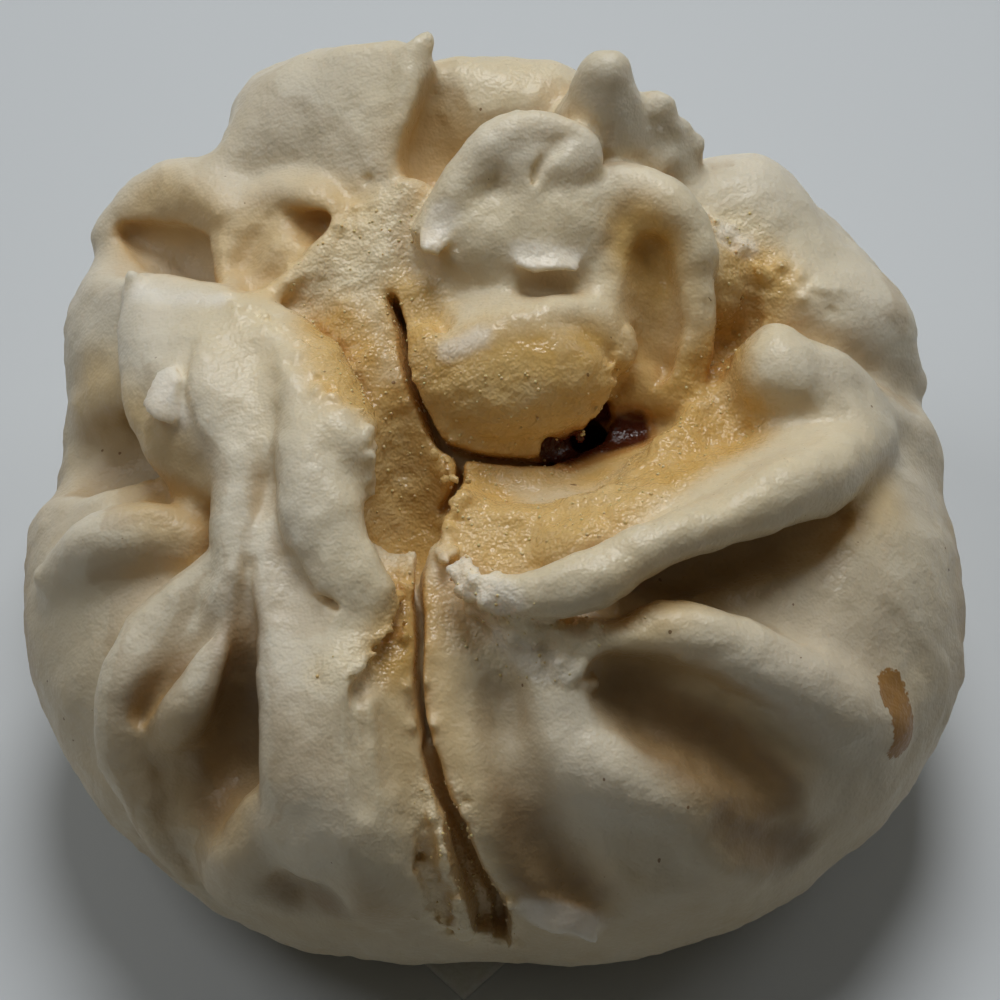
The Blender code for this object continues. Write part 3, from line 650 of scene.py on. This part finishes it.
# Streaks: the bearing from the crown stretched out, and the way down the side drawn together
flat = places[:, :2] - CROWN
across = np.linalg.norm(flat, axis=1) + 0.01
runs = np.stack([40 * flat[:, 0] / across, 40 * flat[:, 1] / across, (across + 60 - places[:, 2]) / 7], 1)
change = 0.22 * lattice_noise(places, 9, 1) + 0.12 * near_crown * lattice_noise(places, 3.6, 2)
change = change + (0.1 * lattice_noise(runs, 2.2, 6) + 0.07 * lattice_noise(runs, 1.1, 7)) * (1 - torn)
crumb = 0.25 * lattice_noise(places, 2.8, 3) + 0.26 * np.abs(lattice_noise(places, 1.5, 4))
crumb = crumb + 0.24 * lattice_noise(places, 0.95, 5)
dough.distance[cells] += change + torn * crumb
print("noise on", len(places), "cells, of them torn", int((torn > 0.5).sum()))

# %% [markdown]
# ## Ragged edges
# Torn dough ends in small lumps and pits. Points are thrown along each torn edge, brought onto the
# surface with the slope of the distance, and a small ball is added or taken away at each.

# %% Ragged edges
# For each edge: how many lumps, how far they stray, the largest, and the line they follow
RAGGED = (
    # The foot of the front tear and both its sides
    (90, 0.9, 1.1, [(-5.5, -37.5, 33.5), (-5, -40, 31.5), (-5, -42, 28.5), (-4.5, -43, 24),
                    (-3, -43, 19.5)]),
    (90, 0.8, 1.0, [(-5, -35.5, 34.5), (-3, -39.5, 29.5), (-1, -40.5, 25.5), (0, -42, 21), (1, -43, 18)]),
    (90, 0.5, 0.7, [(-8.5, -16, 43), (-7.5, -19, 42.5), (-6.5, -27, 41), (-5.5, -33.5, 37)]),
    # The torn knob's edge against the crack
    (110, 0.5, 0.8, [(-9.5, 14, 50), (-10, 11, 48.5), (-8, 5.5, 49), (-7, 2.5, 46.5), (-5.5, 0.5, 44.5),
                     (-2, -1, 43), (2.5, -0.5, 42), (7, 2, 41), (9.5, 2, 43.5)]),
    (50, 0.5, 0.8, [(9.5, 2, 43.5), (12, 5.5, 47), (13.5, 7.5, 48), (13.5, 10, 48.5)]),
    # The edges of the plates
    (90, 0.6, 0.7, [(-27.5, 12, 51), (-21.5, 6.5, 52), (-17, -1.5, 53), (-13, -6, 52), (-12, -10.5, 48)]),
    (50, 0.9, 0.6, [(-8.5, 25, 55), (-14.5, 21, 52.5), (-19.5, 16.5, 50.5), (-22, 14, 50)]),
    (60, 0.5, 0.8, [(-3.5, -3, 46), (-3, -8, 45.5), (-4.5, -12, 45), (-5, -17, 45)]),
    # The right roll's torn end and the sheet under it, and the sheet under the finger
    (110, 1.0, 0.9, [(-3.5, -18, 46), (-1, -21.5, 46.5), (2, -24, 44), (6, -26, 42), (9, -27, 41)]),
    (70, 0.35, 0.6, [(-8.8, -19, 43.6), (-10.3, -24, 43.6), (-11.8, -27.6, 43.6), (-13.5, -29.3, 43.8)]),
    # The torn skin right of the swirl
    (70, 1.0, 0.8, [(22, 22, 50.5), (25, 21.5, 50), (28.5, 20, 48), (33, 18, 47), (38, 16.5, 44)]),
)


def crumble(count, spread, largest, line):
    """Two lumps for each pit, thrown along a line and brought onto the surface."""
    line = smooth_path(line, 0.5)
    spots = line[dice.integers(len(line), size=count)] + dice.normal(size=(count, 3)) * spread
    away = dough.read(dough.distance, spots)
    slope = [dough.read(dough.distance, spots + step) - away for step in np.eye(3) * 0.5]
    spots = spots - 2 * np.stack(slope, 1) * away[:, None]
    for turn, spot in enumerate(spots):
        size = dice.uniform(0.4, largest) * dice.uniform(0.7, 1, 3)
        if turn % 3:
            lobe(spot, size, 0.25)
        else:
            dent(spot, 0.75 * size, 0.25)


dice = np.random.default_rng(SEED + 2)
for edge in RAGGED:
    crumble(*edge)
print("lumps and pits on torn edges:", sum(edge[0] for edge in RAGGED))

# %% [markdown]
# ## Cracks
# The cracks come after the noise, so that crumb doesn't close them. A crack is a thin sheet carved
# out along its line, wider where the edges have pulled apart.

# %% The crack and the tear down the front
slit([(-10.5, 13, 51.5), (-10, 9.5, 51), (-9.5, 6, 50.5), (-8.5, 2.5, 49), (-7, -0.5, 48), (-5.5, -2, 47),
      (-3.5, -3, 46.5)],
     [(-9, 15, 45), (-8, 11, 44.5), (-7.5, 8, 44), (-6.5, 5, 42.5), (-5.5, 2, 41.5), (-4.5, 0.5, 40.5),
      (-3, 0, 40)], 0.55, 0.4)
slit([(-3.5, -3, 46.5), (0, -3.5, 46), (3, -3.5, 45.5), (6.5, -2, 44)],
     [(-3.5, 0, 40), (0, 0, 39.5), (3, 0, 39), (7, 1.5, 37)], 0.45, 0.4)
slit([(-3.5, -3, 46.5), (-3.5, -5.5, 45.5), (-4, -7.5, 44), (-6, -10, 43.5), (-6.5, -13, 43.5),
      (-7, -17, 44), (-7.5, -20.5, 43.5), (-7, -24, 42), (-6.5, -30, 40.5), (-5.5, -35, 37.5)],
     [(-3, 0, 40), (-3, -2, 39.5), (-4, -4, 39), (-6, -7, 38.5), (-6.5, -10, 38.5), (-7, -12, 39),
      (-7.5, -15, 39), (-7, -19, 38), (-6.5, -24.5, 36), (-5.5, -29.5, 33.5)], 0.45, 0.4)
slit([(-5.5, -35, 38), (-4.3, -38, 36), (-2.8, -40.5, 33.5), (-1.3, -43, 29), (-0.3, -44.5, 23.5),
      (0.2, -45, 19)],
     [(-5.5, -31.5, 35), (-4.3, -34.5, 32.5), (-2.8, -36.5, 30), (-1.3, -38.5, 26), (-0.3, -40, 21.5),
      (0.2, -41, 18)], 0.75, 0.4)
slit([(-3.2, -40.5, 34), (-2.6, -42.5, 30.5), (-1.9, -44.3, 26), (-1.5, -45, 20.5)],
     [(-3.2, -37.5, 31), (-2.6, -39.5, 27.5), (-1.9, -41, 24), (-1.5, -42, 19.5)], 0.85, 0.4)
hollow([(-2, -41.5, 30.5, 1), (-0.9, -43, 26.5, 1.5), (-0.2, -44, 22, 1.6), (-0.2, -44.3, 18.5, 0.9)],
       0.6)
hollow([(-6.3, -38.3, 34.6, 0.5), (-6, -41, 31, 0.8), (-5.4, -43, 26.5, 0.9), (-4.6, -43.6, 22.5, 0.6)],
       0.6)
fold([(-4.9, -37.6, 32.6, 0.9), (-4.2, -39.6, 29, 1.1), (-3.8, -41, 25, 1.3), (-3.6, -41.8, 20.5, 1.1)],
     0.5)

# %% [markdown]
# ## Flakes of skin
# Where the skin dried it lifts in flakes. They are joined after the noise too, which would eat
# anything this thin.

# %% Flakes of skin
flap([(3, 16.4, 53.8), (5.4, 16.6, 54.4), (8.2, 16.2, 53)],
     [(2.6, 13.2, 54.2), (4.4, 12.7, 53.9), (6.6, 13, 53.8), (8.4, 13.6, 53)], 0.35, 0.9)
flap([(-5.4, 19, 55.6), (-4.4, 18.2, 55.6), (-4.2, 17, 55.4)],
     [(-6.9, 17.2, 55.2), (-6.8, 15.2, 55.2), (-5.6, 14.6, 55)], 0.4, 0.5)
flap([(-32.6, 2.8, 49.8), (-31.4, 2.9, 50.2), (-30.4, 1.6, 50)],
     [(-34, -0.2, 48.6), (-32.9, -1.8, 48.8), (-31, -2.2, 48.4)], 0.4, 0.5)
flap([(3, -42.6, 25.4), (5, -42.8, 25.8), (7.5, -43, 24.8), (10, -42.8, 23.6)],
     [(3, -43.4, 23), (5.5, -44.2, 22.4), (7.5, -44.2, 22.8), (10, -44.2, 21.2)], 0.55, 0.3)

# %% [markdown]
# ## A stir, and the flat foot
# Everything so far was drawn with smooth strokes, and shows it. Moving the whole surface sideways
# by noise bends each edge a little, as real dough does. Then the foot is cut flat: it sits on paper.

# %% Stirring and the flat foot
# The size of the waves, how far they push, and a seed
WAVES = ((10, 0.85, 21), (3.6, 0.24, 31), (1.3, 0.14, 41))
dough.stir(3.2, WAVES)
below = BASE_Z - dough.axes[2][None, None, :]
dough.distance = np.maximum(dough.distance, below)
print("lowest dough at", BASE_Z, "mm")

# %% [markdown]
# ## The dough as a mesh
# The grid gives more triangles than the skin needs, most of them where it is smooth. A Decimate
# modifier thins them, and its result becomes the object's own mesh.

# %% The dough as a mesh


def new_object(name, data):
    obj = bpy.data.objects.new(name, data)
    bpy.context.scene.collection.objects.link(obj)
    return obj


def triangles_of(obj):
    return sum(len(face.vertices) - 2 for face in obj.data.polygons)


def baked(obj):
    """Turns what the modifiers make into the object's own mesh."""
    graph = bpy.context.evaluated_depsgraph_get()
    result = bpy.data.meshes.new_from_object(obj.evaluated_get(graph))
    obj.modifiers.clear()
    obj.data = result
    return obj


skin = new_object("dough_skin", dough.mesh("dough_skin"))
before = triangles_of(skin)
thinner = skin.modifiers.new("fewer triangles", "DECIMATE")
thinner.ratio = min(1, MOST_TRIANGLES / before)
baked(skin)
skin.data.shade_smooth()
print("dough:", before, "triangles thinned to", triangles_of(skin))

# %% [markdown]
# ## What the finish needs to know
# The layers become attributes of the mesh. Two more are worked out here: how deep a point lies in
# a narrow fold, and in a wide valley. The finish darkens both with painted shade. Walking out along
# the normal, the distance grows as fast as the step in the open, and slower between two walls. Short
# steps find folds, a long one valleys.

# %% Attributes for the finish


def vertex_values(mesh, name):
    values = np.empty(len(mesh.vertices) * 3, np.float32)
    mesh.vertices.foreach_get(name, values)
    return values.reshape(-1, 3)


def write_attribute(mesh, name, values):
    attribute = mesh.attributes.new(name, "FLOAT", "POINT")
    attribute.data.foreach_set("value", np.clip(values, 0, 1).astype(np.float32))


points = vertex_values(skin.data, "co") / MM + ORIGIN
normals = vertex_values(skin.data, "normal")
for layer in dough.layers:
    write_attribute(skin.data, layer, dough.read(dough.layers[layer], points))
closed = 0
for reach, weight in ((1.2, 0.25), (2.5, 0.35), (5, 0.4)):
    closed = closed + weight * (1 - dough.read(dough.distance, points + normals * reach) / reach)
write_attribute(skin.data, "deep", closed)
VALLEY_REACH = 9
wide = 1 - dough.read(dough.distance, points + normals * VALLEY_REACH) / VALLEY_REACH
write_attribute(skin.data, "valley_shade", wide)
print("deep folds: mean", round(float(np.mean(np.clip(closed, 0, 1))), 3))

# %% [markdown]
# ## Finishes as expressions
# A material is arithmetic on patterns. The small class below wraps a socket, so that sums can be
# written in Python: `1 - mask` adds a Math node. Any other node comes from its `node` method.

# %% A socket that can be reckoned with


def new_node(tree, kind, settings, sockets):
    """A node with its settings made, and a value set or a link made for each socket named."""
    node = tree.nodes.new(kind)
    for name, value in settings.items():
        setattr(node, name, value)
    for name, value in sockets.items():
        fill(node.inputs[name], value)
    return node


def fill(socket, value):
    """Sets a constant on a socket, or links another socket to it."""
    if isinstance(value, Flow):
        value = value.socket
    if isinstance(value, bpy.types.NodeSocket):
        socket.id_data.links.new(value, socket)
    else:
        socket.default_value = value


class Flow:
    """A socket's value on its way through a material."""

    def __init__(self, socket):
        self.socket = socket

    def node(self, kind, settings, sockets, out=0):
        return Flow(new_node(self.socket.id_data, kind, settings, sockets).outputs[out])

    def vector(self, operation, first, second, out=0):
        return self.node("ShaderNodeVectorMath", {"operation": operation}, {0: first, 1: second}, out)

    def from_line(self, first, last):
        """How far, in mm, the place lies from the line between two points given in mm."""
        first, last = [(Vector(point) - Vector(ORIGIN)) * MM for point in (first, last)]
        along = last - first
        offset = self.vector("SUBTRACT", self, first)
        share = (self.vector("DOT_PRODUCT", offset, along, 1) * (1 / along.length_squared)).clamp()
        thrice = self.node("ShaderNodeCombineXYZ", {}, {0: share, 1: share, 2: share})
        nearest = self.vector("MULTIPLY", thrice, along)
        return self.vector("DISTANCE", offset, nearest, 1) * (1 / MM)

    def maths(self, operation, first, second=0.0, third=0.0):
        return self.node("ShaderNodeMath", {"operation": operation}, {0: first, 1: second, 2: third})

    def __add__(self, other):
        return self.maths("ADD", self, other)

    def __radd__(self, other):
        return self.maths("ADD", other, self)

    def __sub__(self, other):
        return self.maths("SUBTRACT", self, other)

    def __rsub__(self, other):
        return self.maths("SUBTRACT", other, self)

    def __mul__(self, other):
        return self.maths("MULTIPLY", self, other)

    def __rmul__(self, other):
        return self.maths("MULTIPLY", other, self)

    def clamp(self):
        return self.node("ShaderNodeClamp", {}, {0: self})

    def between(self, low, high):
        """0 up to low, 1 from high, smooth between."""
        smooth = {"interpolation_type": "SMOOTHSTEP"}
        return self.node("ShaderNodeMapRange", smooth, {0: self, 1: low, 2: high})

    def mix(self, factor, first, second):
        """Colour first where the factor is 0, second where it is 1."""
        first = first if isinstance(first, Flow) else (*first, 1)
        second = second if isinstance(second, Flow) else (*second, 1)
        return self.node("ShaderNodeMix", {"data_type": "RGBA"}, {0: factor, 6: first, 7: second}, out=2)

    def noise(self, scale, detail=2.0, rough=0.5, where=None):
        sockets = {"Vector": where or self, "Scale": scale, "Detail": detail, "Roughness": rough}
        return self.node("ShaderNodeTexNoise", {}, sockets)

    def layer(self, name):
        return self.node("ShaderNodeAttribute", {"attribute_name": name}, {}, out=2)

    def bump(self, height, strength, distance):
        sockets = {"Height": height, "Strength": strength, "Distance": distance}
        return self.node("ShaderNodeBump", {}, sockets)


def new_finish(name):
    """An empty finish: its Principled shader and the object's own coordinates."""
    material = bpy.data.materials.new(name)
    material.use_nodes = True
    tree = material.node_tree
    shader = tree.nodes["Principled BSDF"]
    place = Flow(tree.nodes.new("ShaderNodeTexCoord").outputs["Object"])
    return material, shader, place


def connect(shader, **inputs):
    for name, value in inputs.items():
        fill(shader.inputs[name.replace("_", " ")], value)


# %% [markdown]
# ## Steamed dough
# Steamed skin is a soft, moist, warm white with light scattered inside. Its colours are coats laid
# one over another, so the material is a table of coats and one loop. Some coats are painted shade:
# warm shade in pockets and folds, darker shade in narrow folds, wide valleys, the deepest valleys and
# low on the sides; one coat is partly painted highlight. The scorch mark low on the right is small
# and sharp, and the triangles there are too large to carry it as an attribute, so its coat is worked
# out from the distance to a line. Fine streaks run down the skin as bump.

# %% Steamed dough
STAIN = ((39.6, -23.2, 32.2), (40.7, -26.2, 28.8))
dough_finish, shader, place = new_finish("steamed_dough")
torn, soaked, sauced = place.layer("torn"), place.layer("soaked"), place.layer("sauced")
warm_bounce_shade, dry_and_highlight, deep_valley_shade = place.layer("warm_bounce_shade"), place.layer("dry_and_highlight"), place.layer("deep_valley_shade")
deep, valley_shade, oily = place.layer("deep"), place.layer("valley_shade"), place.layer("oily")

cloud = place.noise(75, 0)
patch = place.noise(210, 2, 0.6)
grain = place.noise(1700, 1, 0.7)
tall = place.vector("MULTIPLY", place, (1, 1, 0.22))
streak = place.noise(480, 0, 0.6, tall)

height_up = place.node("ShaderNodeSeparateXYZ", {}, {0: place}, out=2)
# Painted shade low on the sides: full below 20 mm, none above 48 mm
lower_side_shade = 1 - height_up.between(0.020, 0.048)
juice = (soaked * (0.55 + 0.9 * patch)).clamp()
fold_shade = (deep.between(0.2, 0.85) * (0.3 + 0.7 * warm_bounce_shade)).clamp()
sauce = sauced * (0.6 + 0.8 * patch)
stain = 2.5 - place.from_line(*STAIN) + 1.8 * (patch - 0.5) + 1.4 * (grain - 0.5)

# Coats of colour: how much of each shows, its colour, and what it is
coats = (
    ((oily * (0.5 + 0.8 * patch)).clamp() * 0.7, (0.74, 0.625, 0.40)),  # oil from the filling
    # Painted warm shade in pockets and folds, for the light that bounces about in them
    (warm_bounce_shade * 0.8, (0.72, 0.53, 0.26)),  # pockets and folds
    # Painted shade: darker and warmer low on the sides, where less light falls
    (lower_side_shade * (0.4 + 0.7 * patch), (0.56, 0.445, 0.27)),  # the lower side
    (torn * 0.65, (0.84, 0.72, 0.48)),  # bare crumb
    (juice * 0.9, place.mix(cloud.between(0.4, 0.6), (0.62, 0.375, 0.095), (0.67, 0.44, 0.15))),
    # Painted shade in wide valleys, stronger low on the sides
    (valley_shade.between(0.1, 0.65) * (0.4 + 0.6 * lower_side_shade) * (1 - 0.8 * soaked) * 0.8,
     (0.42, 0.29, 0.145)),  # wide valleys
    # Painted shade: dark brown on the floors of the deepest valleys
    (deep_valley_shade * (0.5 + 0.55 * patch), (0.22, 0.13, 0.052)),  # the floors of the deepest valleys
    (fold_shade * 0.7, (0.56, 0.35, 0.13)),  # narrow folds
    # Partly juice held in a fold, partly painted shade that darkens it where the fold is deepest
    (deep.between(0.5, 0.95) * soaked * 0.7, (0.44, 0.22, 0.055)),  # juice held in a fold
    (sauce.between(0.05, 0.4) * 0.8, (0.42, 0.19, 0.045)),  # the rim of the sauce
    (sauce.between(0.4, 0.85), (0.085, 0.018, 0.005)),  # the sauce
    # Dry shreds of skin, and painted highlights on the lip and a few edges
    ((dry_and_highlight * (0.4 + patch)).clamp() * 0.6, (0.86, 0.83, 0.75)),  # dry shreds
    (stain.between(0, 0.35) * 0.95, (0.33, 0.16, 0.03)),  # the scorch mark
    (place.noise(1100, 0).between(0.88, 0.9) * 0.8, (0.20, 0.10, 0.035)),  # specks of bran
)
colour = place.mix(cloud.between(0.35, 0.65), (0.70, 0.635, 0.485), (0.76, 0.70, 0.56))
for share, coat in coats:
    colour = place.mix(share, colour, coat)

wet = (soaked * 0.7 + oily * 0.3).clamp()
rough = (0.44 - 0.24 * wet + 0.45 * (grain - 0.5)).clamp()
height = grain * (0.4 + 0.7 * torn) + streak * (0.6 - 0.6 * torn)
connect(shader, Base_Color=colour, Roughness=rough, Normal=place.bump(height, 0.45, 0.0007), IOR=1.4)
connect(shader, Subsurface_Weight=0.5, Subsurface_Radius=(1.0, 0.72, 0.42), Subsurface_Scale=0.0035)
shader.subsurface_method = "BURLEY"
skin.data.materials.append(dough_finish)

# %% [markdown]
# ## The filling
# The meat is minced, so its surface is a heap of small pellets stuck together and wet with sauce.
# It is a clay of its own: a core, and pellets dropped all over it.

# %% Filling
meat = Clay(low=(-22, -21, 5), high=(32, 29, 35), step=0.6)
meat.lobe(FILLING_CENTRE, [radius - 2.0 for radius in FILLING_RADII], 0.5)
PELLETS = 520
dice = np.random.default_rng(SEED + 1)
for _ in range(PELLETS):
    way = dice.normal(size=3)
    way = way / np.linalg.norm(way)
    size = dice.uniform(1.0, 2.3)
    spot = np.array(FILLING_CENTRE) + way * (np.array(FILLING_RADII) - size - 0.2)
    meat.lobe(spot, size * dice.uniform(0.7, 1.0, 3), 0.5)
filling = new_object("minced_filling", meat.mesh("minced_filling"))
filling.data.shade_smooth()
print("filling:", triangles_of(filling), "triangles")

filling_finish, shader, place = new_finish("meat_in_sauce")
bits = place.node("ShaderNodeTexVoronoi", {"feature": "F1"}, {"Vector": place, "Scale": 420.0})
colour = place.mix(place.noise(300, 4).between(0.35, 0.65), (0.09, 0.026, 0.008), (0.19, 0.07, 0.025))
colour = place.mix(bits.between(0.5, 0.8), colour, (0.30, 0.14, 0.06))
rough = 0.35 + 0.3 * place.noise(500, 3)
normal = place.bump(place.noise(900, 3), 0.4, 0.0005)
connect(shader, Base_Color=colour, Roughness=rough, Normal=normal)
filling.data.materials.append(filling_finish)

# %% [markdown]
# ## The paper square
# A square of baking paper lies under the bun. Its shape follows a rule, so a Geometry Nodes tree
# makes it: a grid, moved a hair by noise for the crinkles, then thickened by extruding it. The
# lower side is the same grid turned over, and merging points that meet shuts the two together.

# %% A helper for Geometry Nodes trees


class Tree:
    """A Geometry Nodes tree with named inputs, built a node at a time."""

    def __init__(self, name, inputs):
        self.tree = bpy.data.node_groups.new(name, "GeometryNodeTree")
        self.keys = {}
        for title, (kind, value) in inputs.items():
            socket = self.tree.interface.new_socket(title, in_out="INPUT", socket_type=kind)
            if value is not None:
                socket.default_value = value
            self.keys[title] = socket.identifier
        self.tree.interface.new_socket("Geometry", in_out="OUTPUT", socket_type="NodeSocketGeometry")
        self.start = self.tree.nodes.new("NodeGroupInput")

    def add(self, kind, settings, sockets):
        return new_node(self.tree, kind, settings, sockets)

    def end(self, geometry):
        self.add("NodeGroupOutput", {}, {0: geometry})

    def used_on(self, name, values):
        """An object made by the tree alone, as a plain mesh."""
        obj = new_object(name, bpy.data.meshes.new(name))
        modifier = obj.modifiers.new(name, "NODES")
        modifier.node_group = self.tree
        for title, value in values.items():
            modifier[self.keys[title]] = value
        return baked(obj)


# %% Paper square
paper_finish, shader, place = new_finish("baking_paper")
fibres = place.noise(1500, 4, 0.7)
colour = place.mix(fibres.between(0.3, 0.7), (0.70, 0.70, 0.66), (0.80, 0.80, 0.77))
connect(shader, Base_Color=colour, Roughness=0.35 + 0.2 * fibres, Normal=place.bump(fibres, 0.3, 0.0002))
connect(shader, Subsurface_Weight=0.2, Subsurface_Scale=0.001)

sheet = Tree("paper square", {
    "Side": ("NodeSocketFloat", 0.06),
    "Thickness": ("NodeSocketFloat", 0.0002),
    "Crinkle": ("NodeSocketFloat", 0.0001),
    "Turn": ("NodeSocketFloat", 0.785),
    "Middle": ("NodeSocketVector", (0, 0, 0)),
    "Finish": ("NodeSocketMaterial", None),
})
start = sheet.start.outputs
grid = sheet.add("GeometryNodeMeshGrid", {}, {0: start["Side"], 1: start["Side"], 2: 90, 3: 90})
noise = sheet.add("ShaderNodeTexNoise", {"noise_dimensions": "3D"}, {"Scale": 160.0, "Detail": 2.0})
lift = sheet.add("ShaderNodeMath", {"operation": "MULTIPLY"}, {0: noise.outputs[0], 1: start["Crinkle"]})
upward = sheet.add("ShaderNodeCombineXYZ", {}, {2: lift.outputs[0]})
crinkled = sheet.add("GeometryNodeSetPosition", {}, {
    "Geometry": grid.outputs[0], "Offset": upward.outputs[0]})
thick = sheet.add("ShaderNodeCombineXYZ", {}, {2: start["Thickness"]})
top = sheet.add("GeometryNodeExtrudeMesh", {"mode": "FACES"}, {
    "Mesh": crinkled.outputs[0], "Offset": thick.outputs[0], "Offset Scale": 1.0, "Individual": False})
under = sheet.add("GeometryNodeFlipFaces", {}, {0: crinkled.outputs[0]})
both = sheet.add("GeometryNodeJoinGeometry", {}, {})
sheet.tree.links.new(top.outputs[0], both.inputs[0])
sheet.tree.links.new(under.outputs[0], both.inputs[0])
shut = sheet.add("GeometryNodeMergeByDistance", {}, {"Geometry": both.outputs[0], "Distance": 0.000005})
turned = sheet.add("ShaderNodeCombineXYZ", {}, {2: start["Turn"]})
placed = sheet.add("GeometryNodeTransform", {}, {
    "Geometry": shut.outputs[0], "Translation": start["Middle"], "Rotation": turned.outputs[0]})
real = sheet.add("GeometryNodeRealizeInstances", {}, {0: placed.outputs[0]})
done = sheet.add("GeometryNodeSetMaterial", {}, {"Geometry": real.outputs[0], "Material": start["Finish"]})
sheet.end(done.outputs[0])
paper = sheet.used_on("paper_square", {
    "Side": 60 * MM,
    "Thickness": 0.2 * MM,
    "Crinkle": 0.2 * MM,
    "Turn": math.radians(45),
    "Middle": list((np.array((-3, 2, 0)) - ORIGIN) * MM),
    "Finish": paper_finish,
})
paper.data.shade_smooth()
print("paper:", triangles_of(paper), "triangles")

# %% [markdown]
# ## Loose crumbs
# Tearing leaves crumbs standing on the torn faces. Scattering is what Geometry Nodes are best at:
# points thrown on the dough where it is torn, a small lump on each, sizes and turns random.

# %% Crumbs on the torn faces
crumb_finish, shader, place = new_finish("dough_crumb")
tint = place.noise(400, 2)
colour = place.mix(tint.between(0.35, 0.65), (0.74, 0.54, 0.24), (0.80, 0.63, 0.35))
normal = place.bump(place.noise(2000), 0.4, 0.0003)
connect(shader, Base_Color=colour, Roughness=0.35 + 0.3 * tint, Normal=normal)
connect(shader, Subsurface_Weight=0.3, Subsurface_Scale=0.001)

scatter = Tree("crumbs", {
    "Surface": ("NodeSocketObject", None),
    "Density": ("NodeSocketFloat", 100000.0),
    "Smallest": ("NodeSocketFloat", 0.0002),
    "Largest": ("NodeSocketFloat", 0.0005),
    "Seed": ("NodeSocketInt", SEED),
    "Finish": ("NodeSocketMaterial", None),
})
start = scatter.start.outputs
surface = scatter.add("GeometryNodeObjectInfo", {}, {"Object": start["Surface"]})
where = scatter.add("GeometryNodeInputNamedAttribute", {"data_type": "FLOAT"}, {"Name": "torn"})
chosen = scatter.add("FunctionNodeCompare", {"operation": "GREATER_THAN"}, {0: where.outputs[0], 1: 0.6})
spread = scatter.add("GeometryNodeDistributePointsOnFaces", {}, {
    "Mesh": surface.outputs["Geometry"], "Selection": chosen.outputs[0],
    "Density": start["Density"], "Seed": start["Seed"]})
lump = scatter.add("GeometryNodeMeshIcoSphere", {}, {"Radius": 1.0, "Subdivisions": 1})
size = scatter.add("FunctionNodeRandomValue", {"data_type": "FLOAT"}, {
    2: start["Smallest"], 3: start["Largest"], "Seed": start["Seed"]})
turn = scatter.add("FunctionNodeRandomValue", {"data_type": "FLOAT_VECTOR"}, {
    1: (6.3, 6.3, 6.3), "Seed": start["Seed"]})
lumps = scatter.add("GeometryNodeInstanceOnPoints", {}, {
    "Points": spread.outputs["Points"], "Instance": lump.outputs[0],
    "Rotation": turn.outputs[0], "Scale": size.outputs[1]})
real = scatter.add("GeometryNodeRealizeInstances", {}, {0: lumps.outputs[0]})
done = scatter.add("GeometryNodeSetMaterial", {}, {"Geometry": real.outputs[0], "Material": start["Finish"]})
scatter.end(done.outputs[0])
crumbs = scatter.used_on("loose_crumbs", {
    "Surface": skin,
    "Density": 260000.0,
    "Smallest": 0.08 * MM,
    "Largest": 0.22 * MM,
    "Finish": crumb_finish,
})
crumbs.data.shade_smooth()
print("crumbs:", triangles_of(crumbs), "triangles")

# %% [markdown]
# ## Table, light and camera
# A plain pale floor, a large soft lamp above and behind the bun, two weaker ones at its sides, and
# a camera looking down at 52 degrees.

# %% Floor, lights and camera
bpy.ops.mesh.primitive_plane_add(size=2)
floor = bpy.context.object
floor.name = "floor"
floor_finish, shader, place = new_finish("pale_floor")
connect(shader, Base_Color=(0.60, 0.64, 0.67, 1), Roughness=0.5)
floor.data.materials.append(floor_finish)


def aimed(name, data, spot, target):
    """A lamp or camera at a spot, turned to look at a target."""
    obj = new_object(name, data)
    obj.location = spot
    obj.rotation_mode = "QUATERNION"
    obj.rotation_quaternion = (Vector(target) - Vector(spot)).to_track_quat("-Z", "Y")
    return obj


def soft_lamp(name, spot, size, power):
    lamp = bpy.data.lights.new(name, "AREA")
    lamp.shape = "DISK"
    lamp.size = size
    lamp.energy = power
    aimed(name, lamp, spot, LAMP_AIM)


LAMP_AIM = (0, 0, 0.02)
# The places and sizes are in metres, the power in watts
soft_lamp("back_lamp", (0.02, 0.29, 0.56), 0.30, 2.1)
soft_lamp("left_lamp", (-0.36, 0.06, 0.50), 0.28, 0.55)
soft_lamp("right_lamp", (0.44, 0.20, 0.38), 0.24, 0.25)
world = bpy.data.worlds.new("studio")
world.use_nodes = True
connect(world.node_tree.nodes["Background"], Color=(0.5, 0.47, 0.41, 1), Strength=0.11)
bpy.context.scene.world = world
bpy.context.scene.view_settings.view_transform = "Standard"

CAMERA_AIM = (0.00075, 0.0043, 0.025)
CAMERA_ELEVATION = math.radians(52)
CAMERA_REACH = 0.28
backward = Vector((0, -math.cos(CAMERA_ELEVATION), math.sin(CAMERA_ELEVATION)))
spot = Vector(CAMERA_AIM) + backward * CAMERA_REACH
camera = aimed("camera", bpy.data.cameras.new("camera"), spot, CAMERA_AIM)
camera.data.sensor_width = 36
camera.data.lens = 93.4
camera.data.clip_start = 0.01
bpy.context.scene.camera = camera
print("camera at", [round(v, 3) for v in camera.location])

# %% [markdown]
# ## Riding the CAD frame
# Each piece says which body it rides on and which CAD node it stands for, and that node is hidden.

# %% Frame calls and the end
for piece, node in ((skin, "dough"), (filling, "filling"), (paper, "paper_liner")):
    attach(piece, "root")
    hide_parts(node)
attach(crumbs, "root")
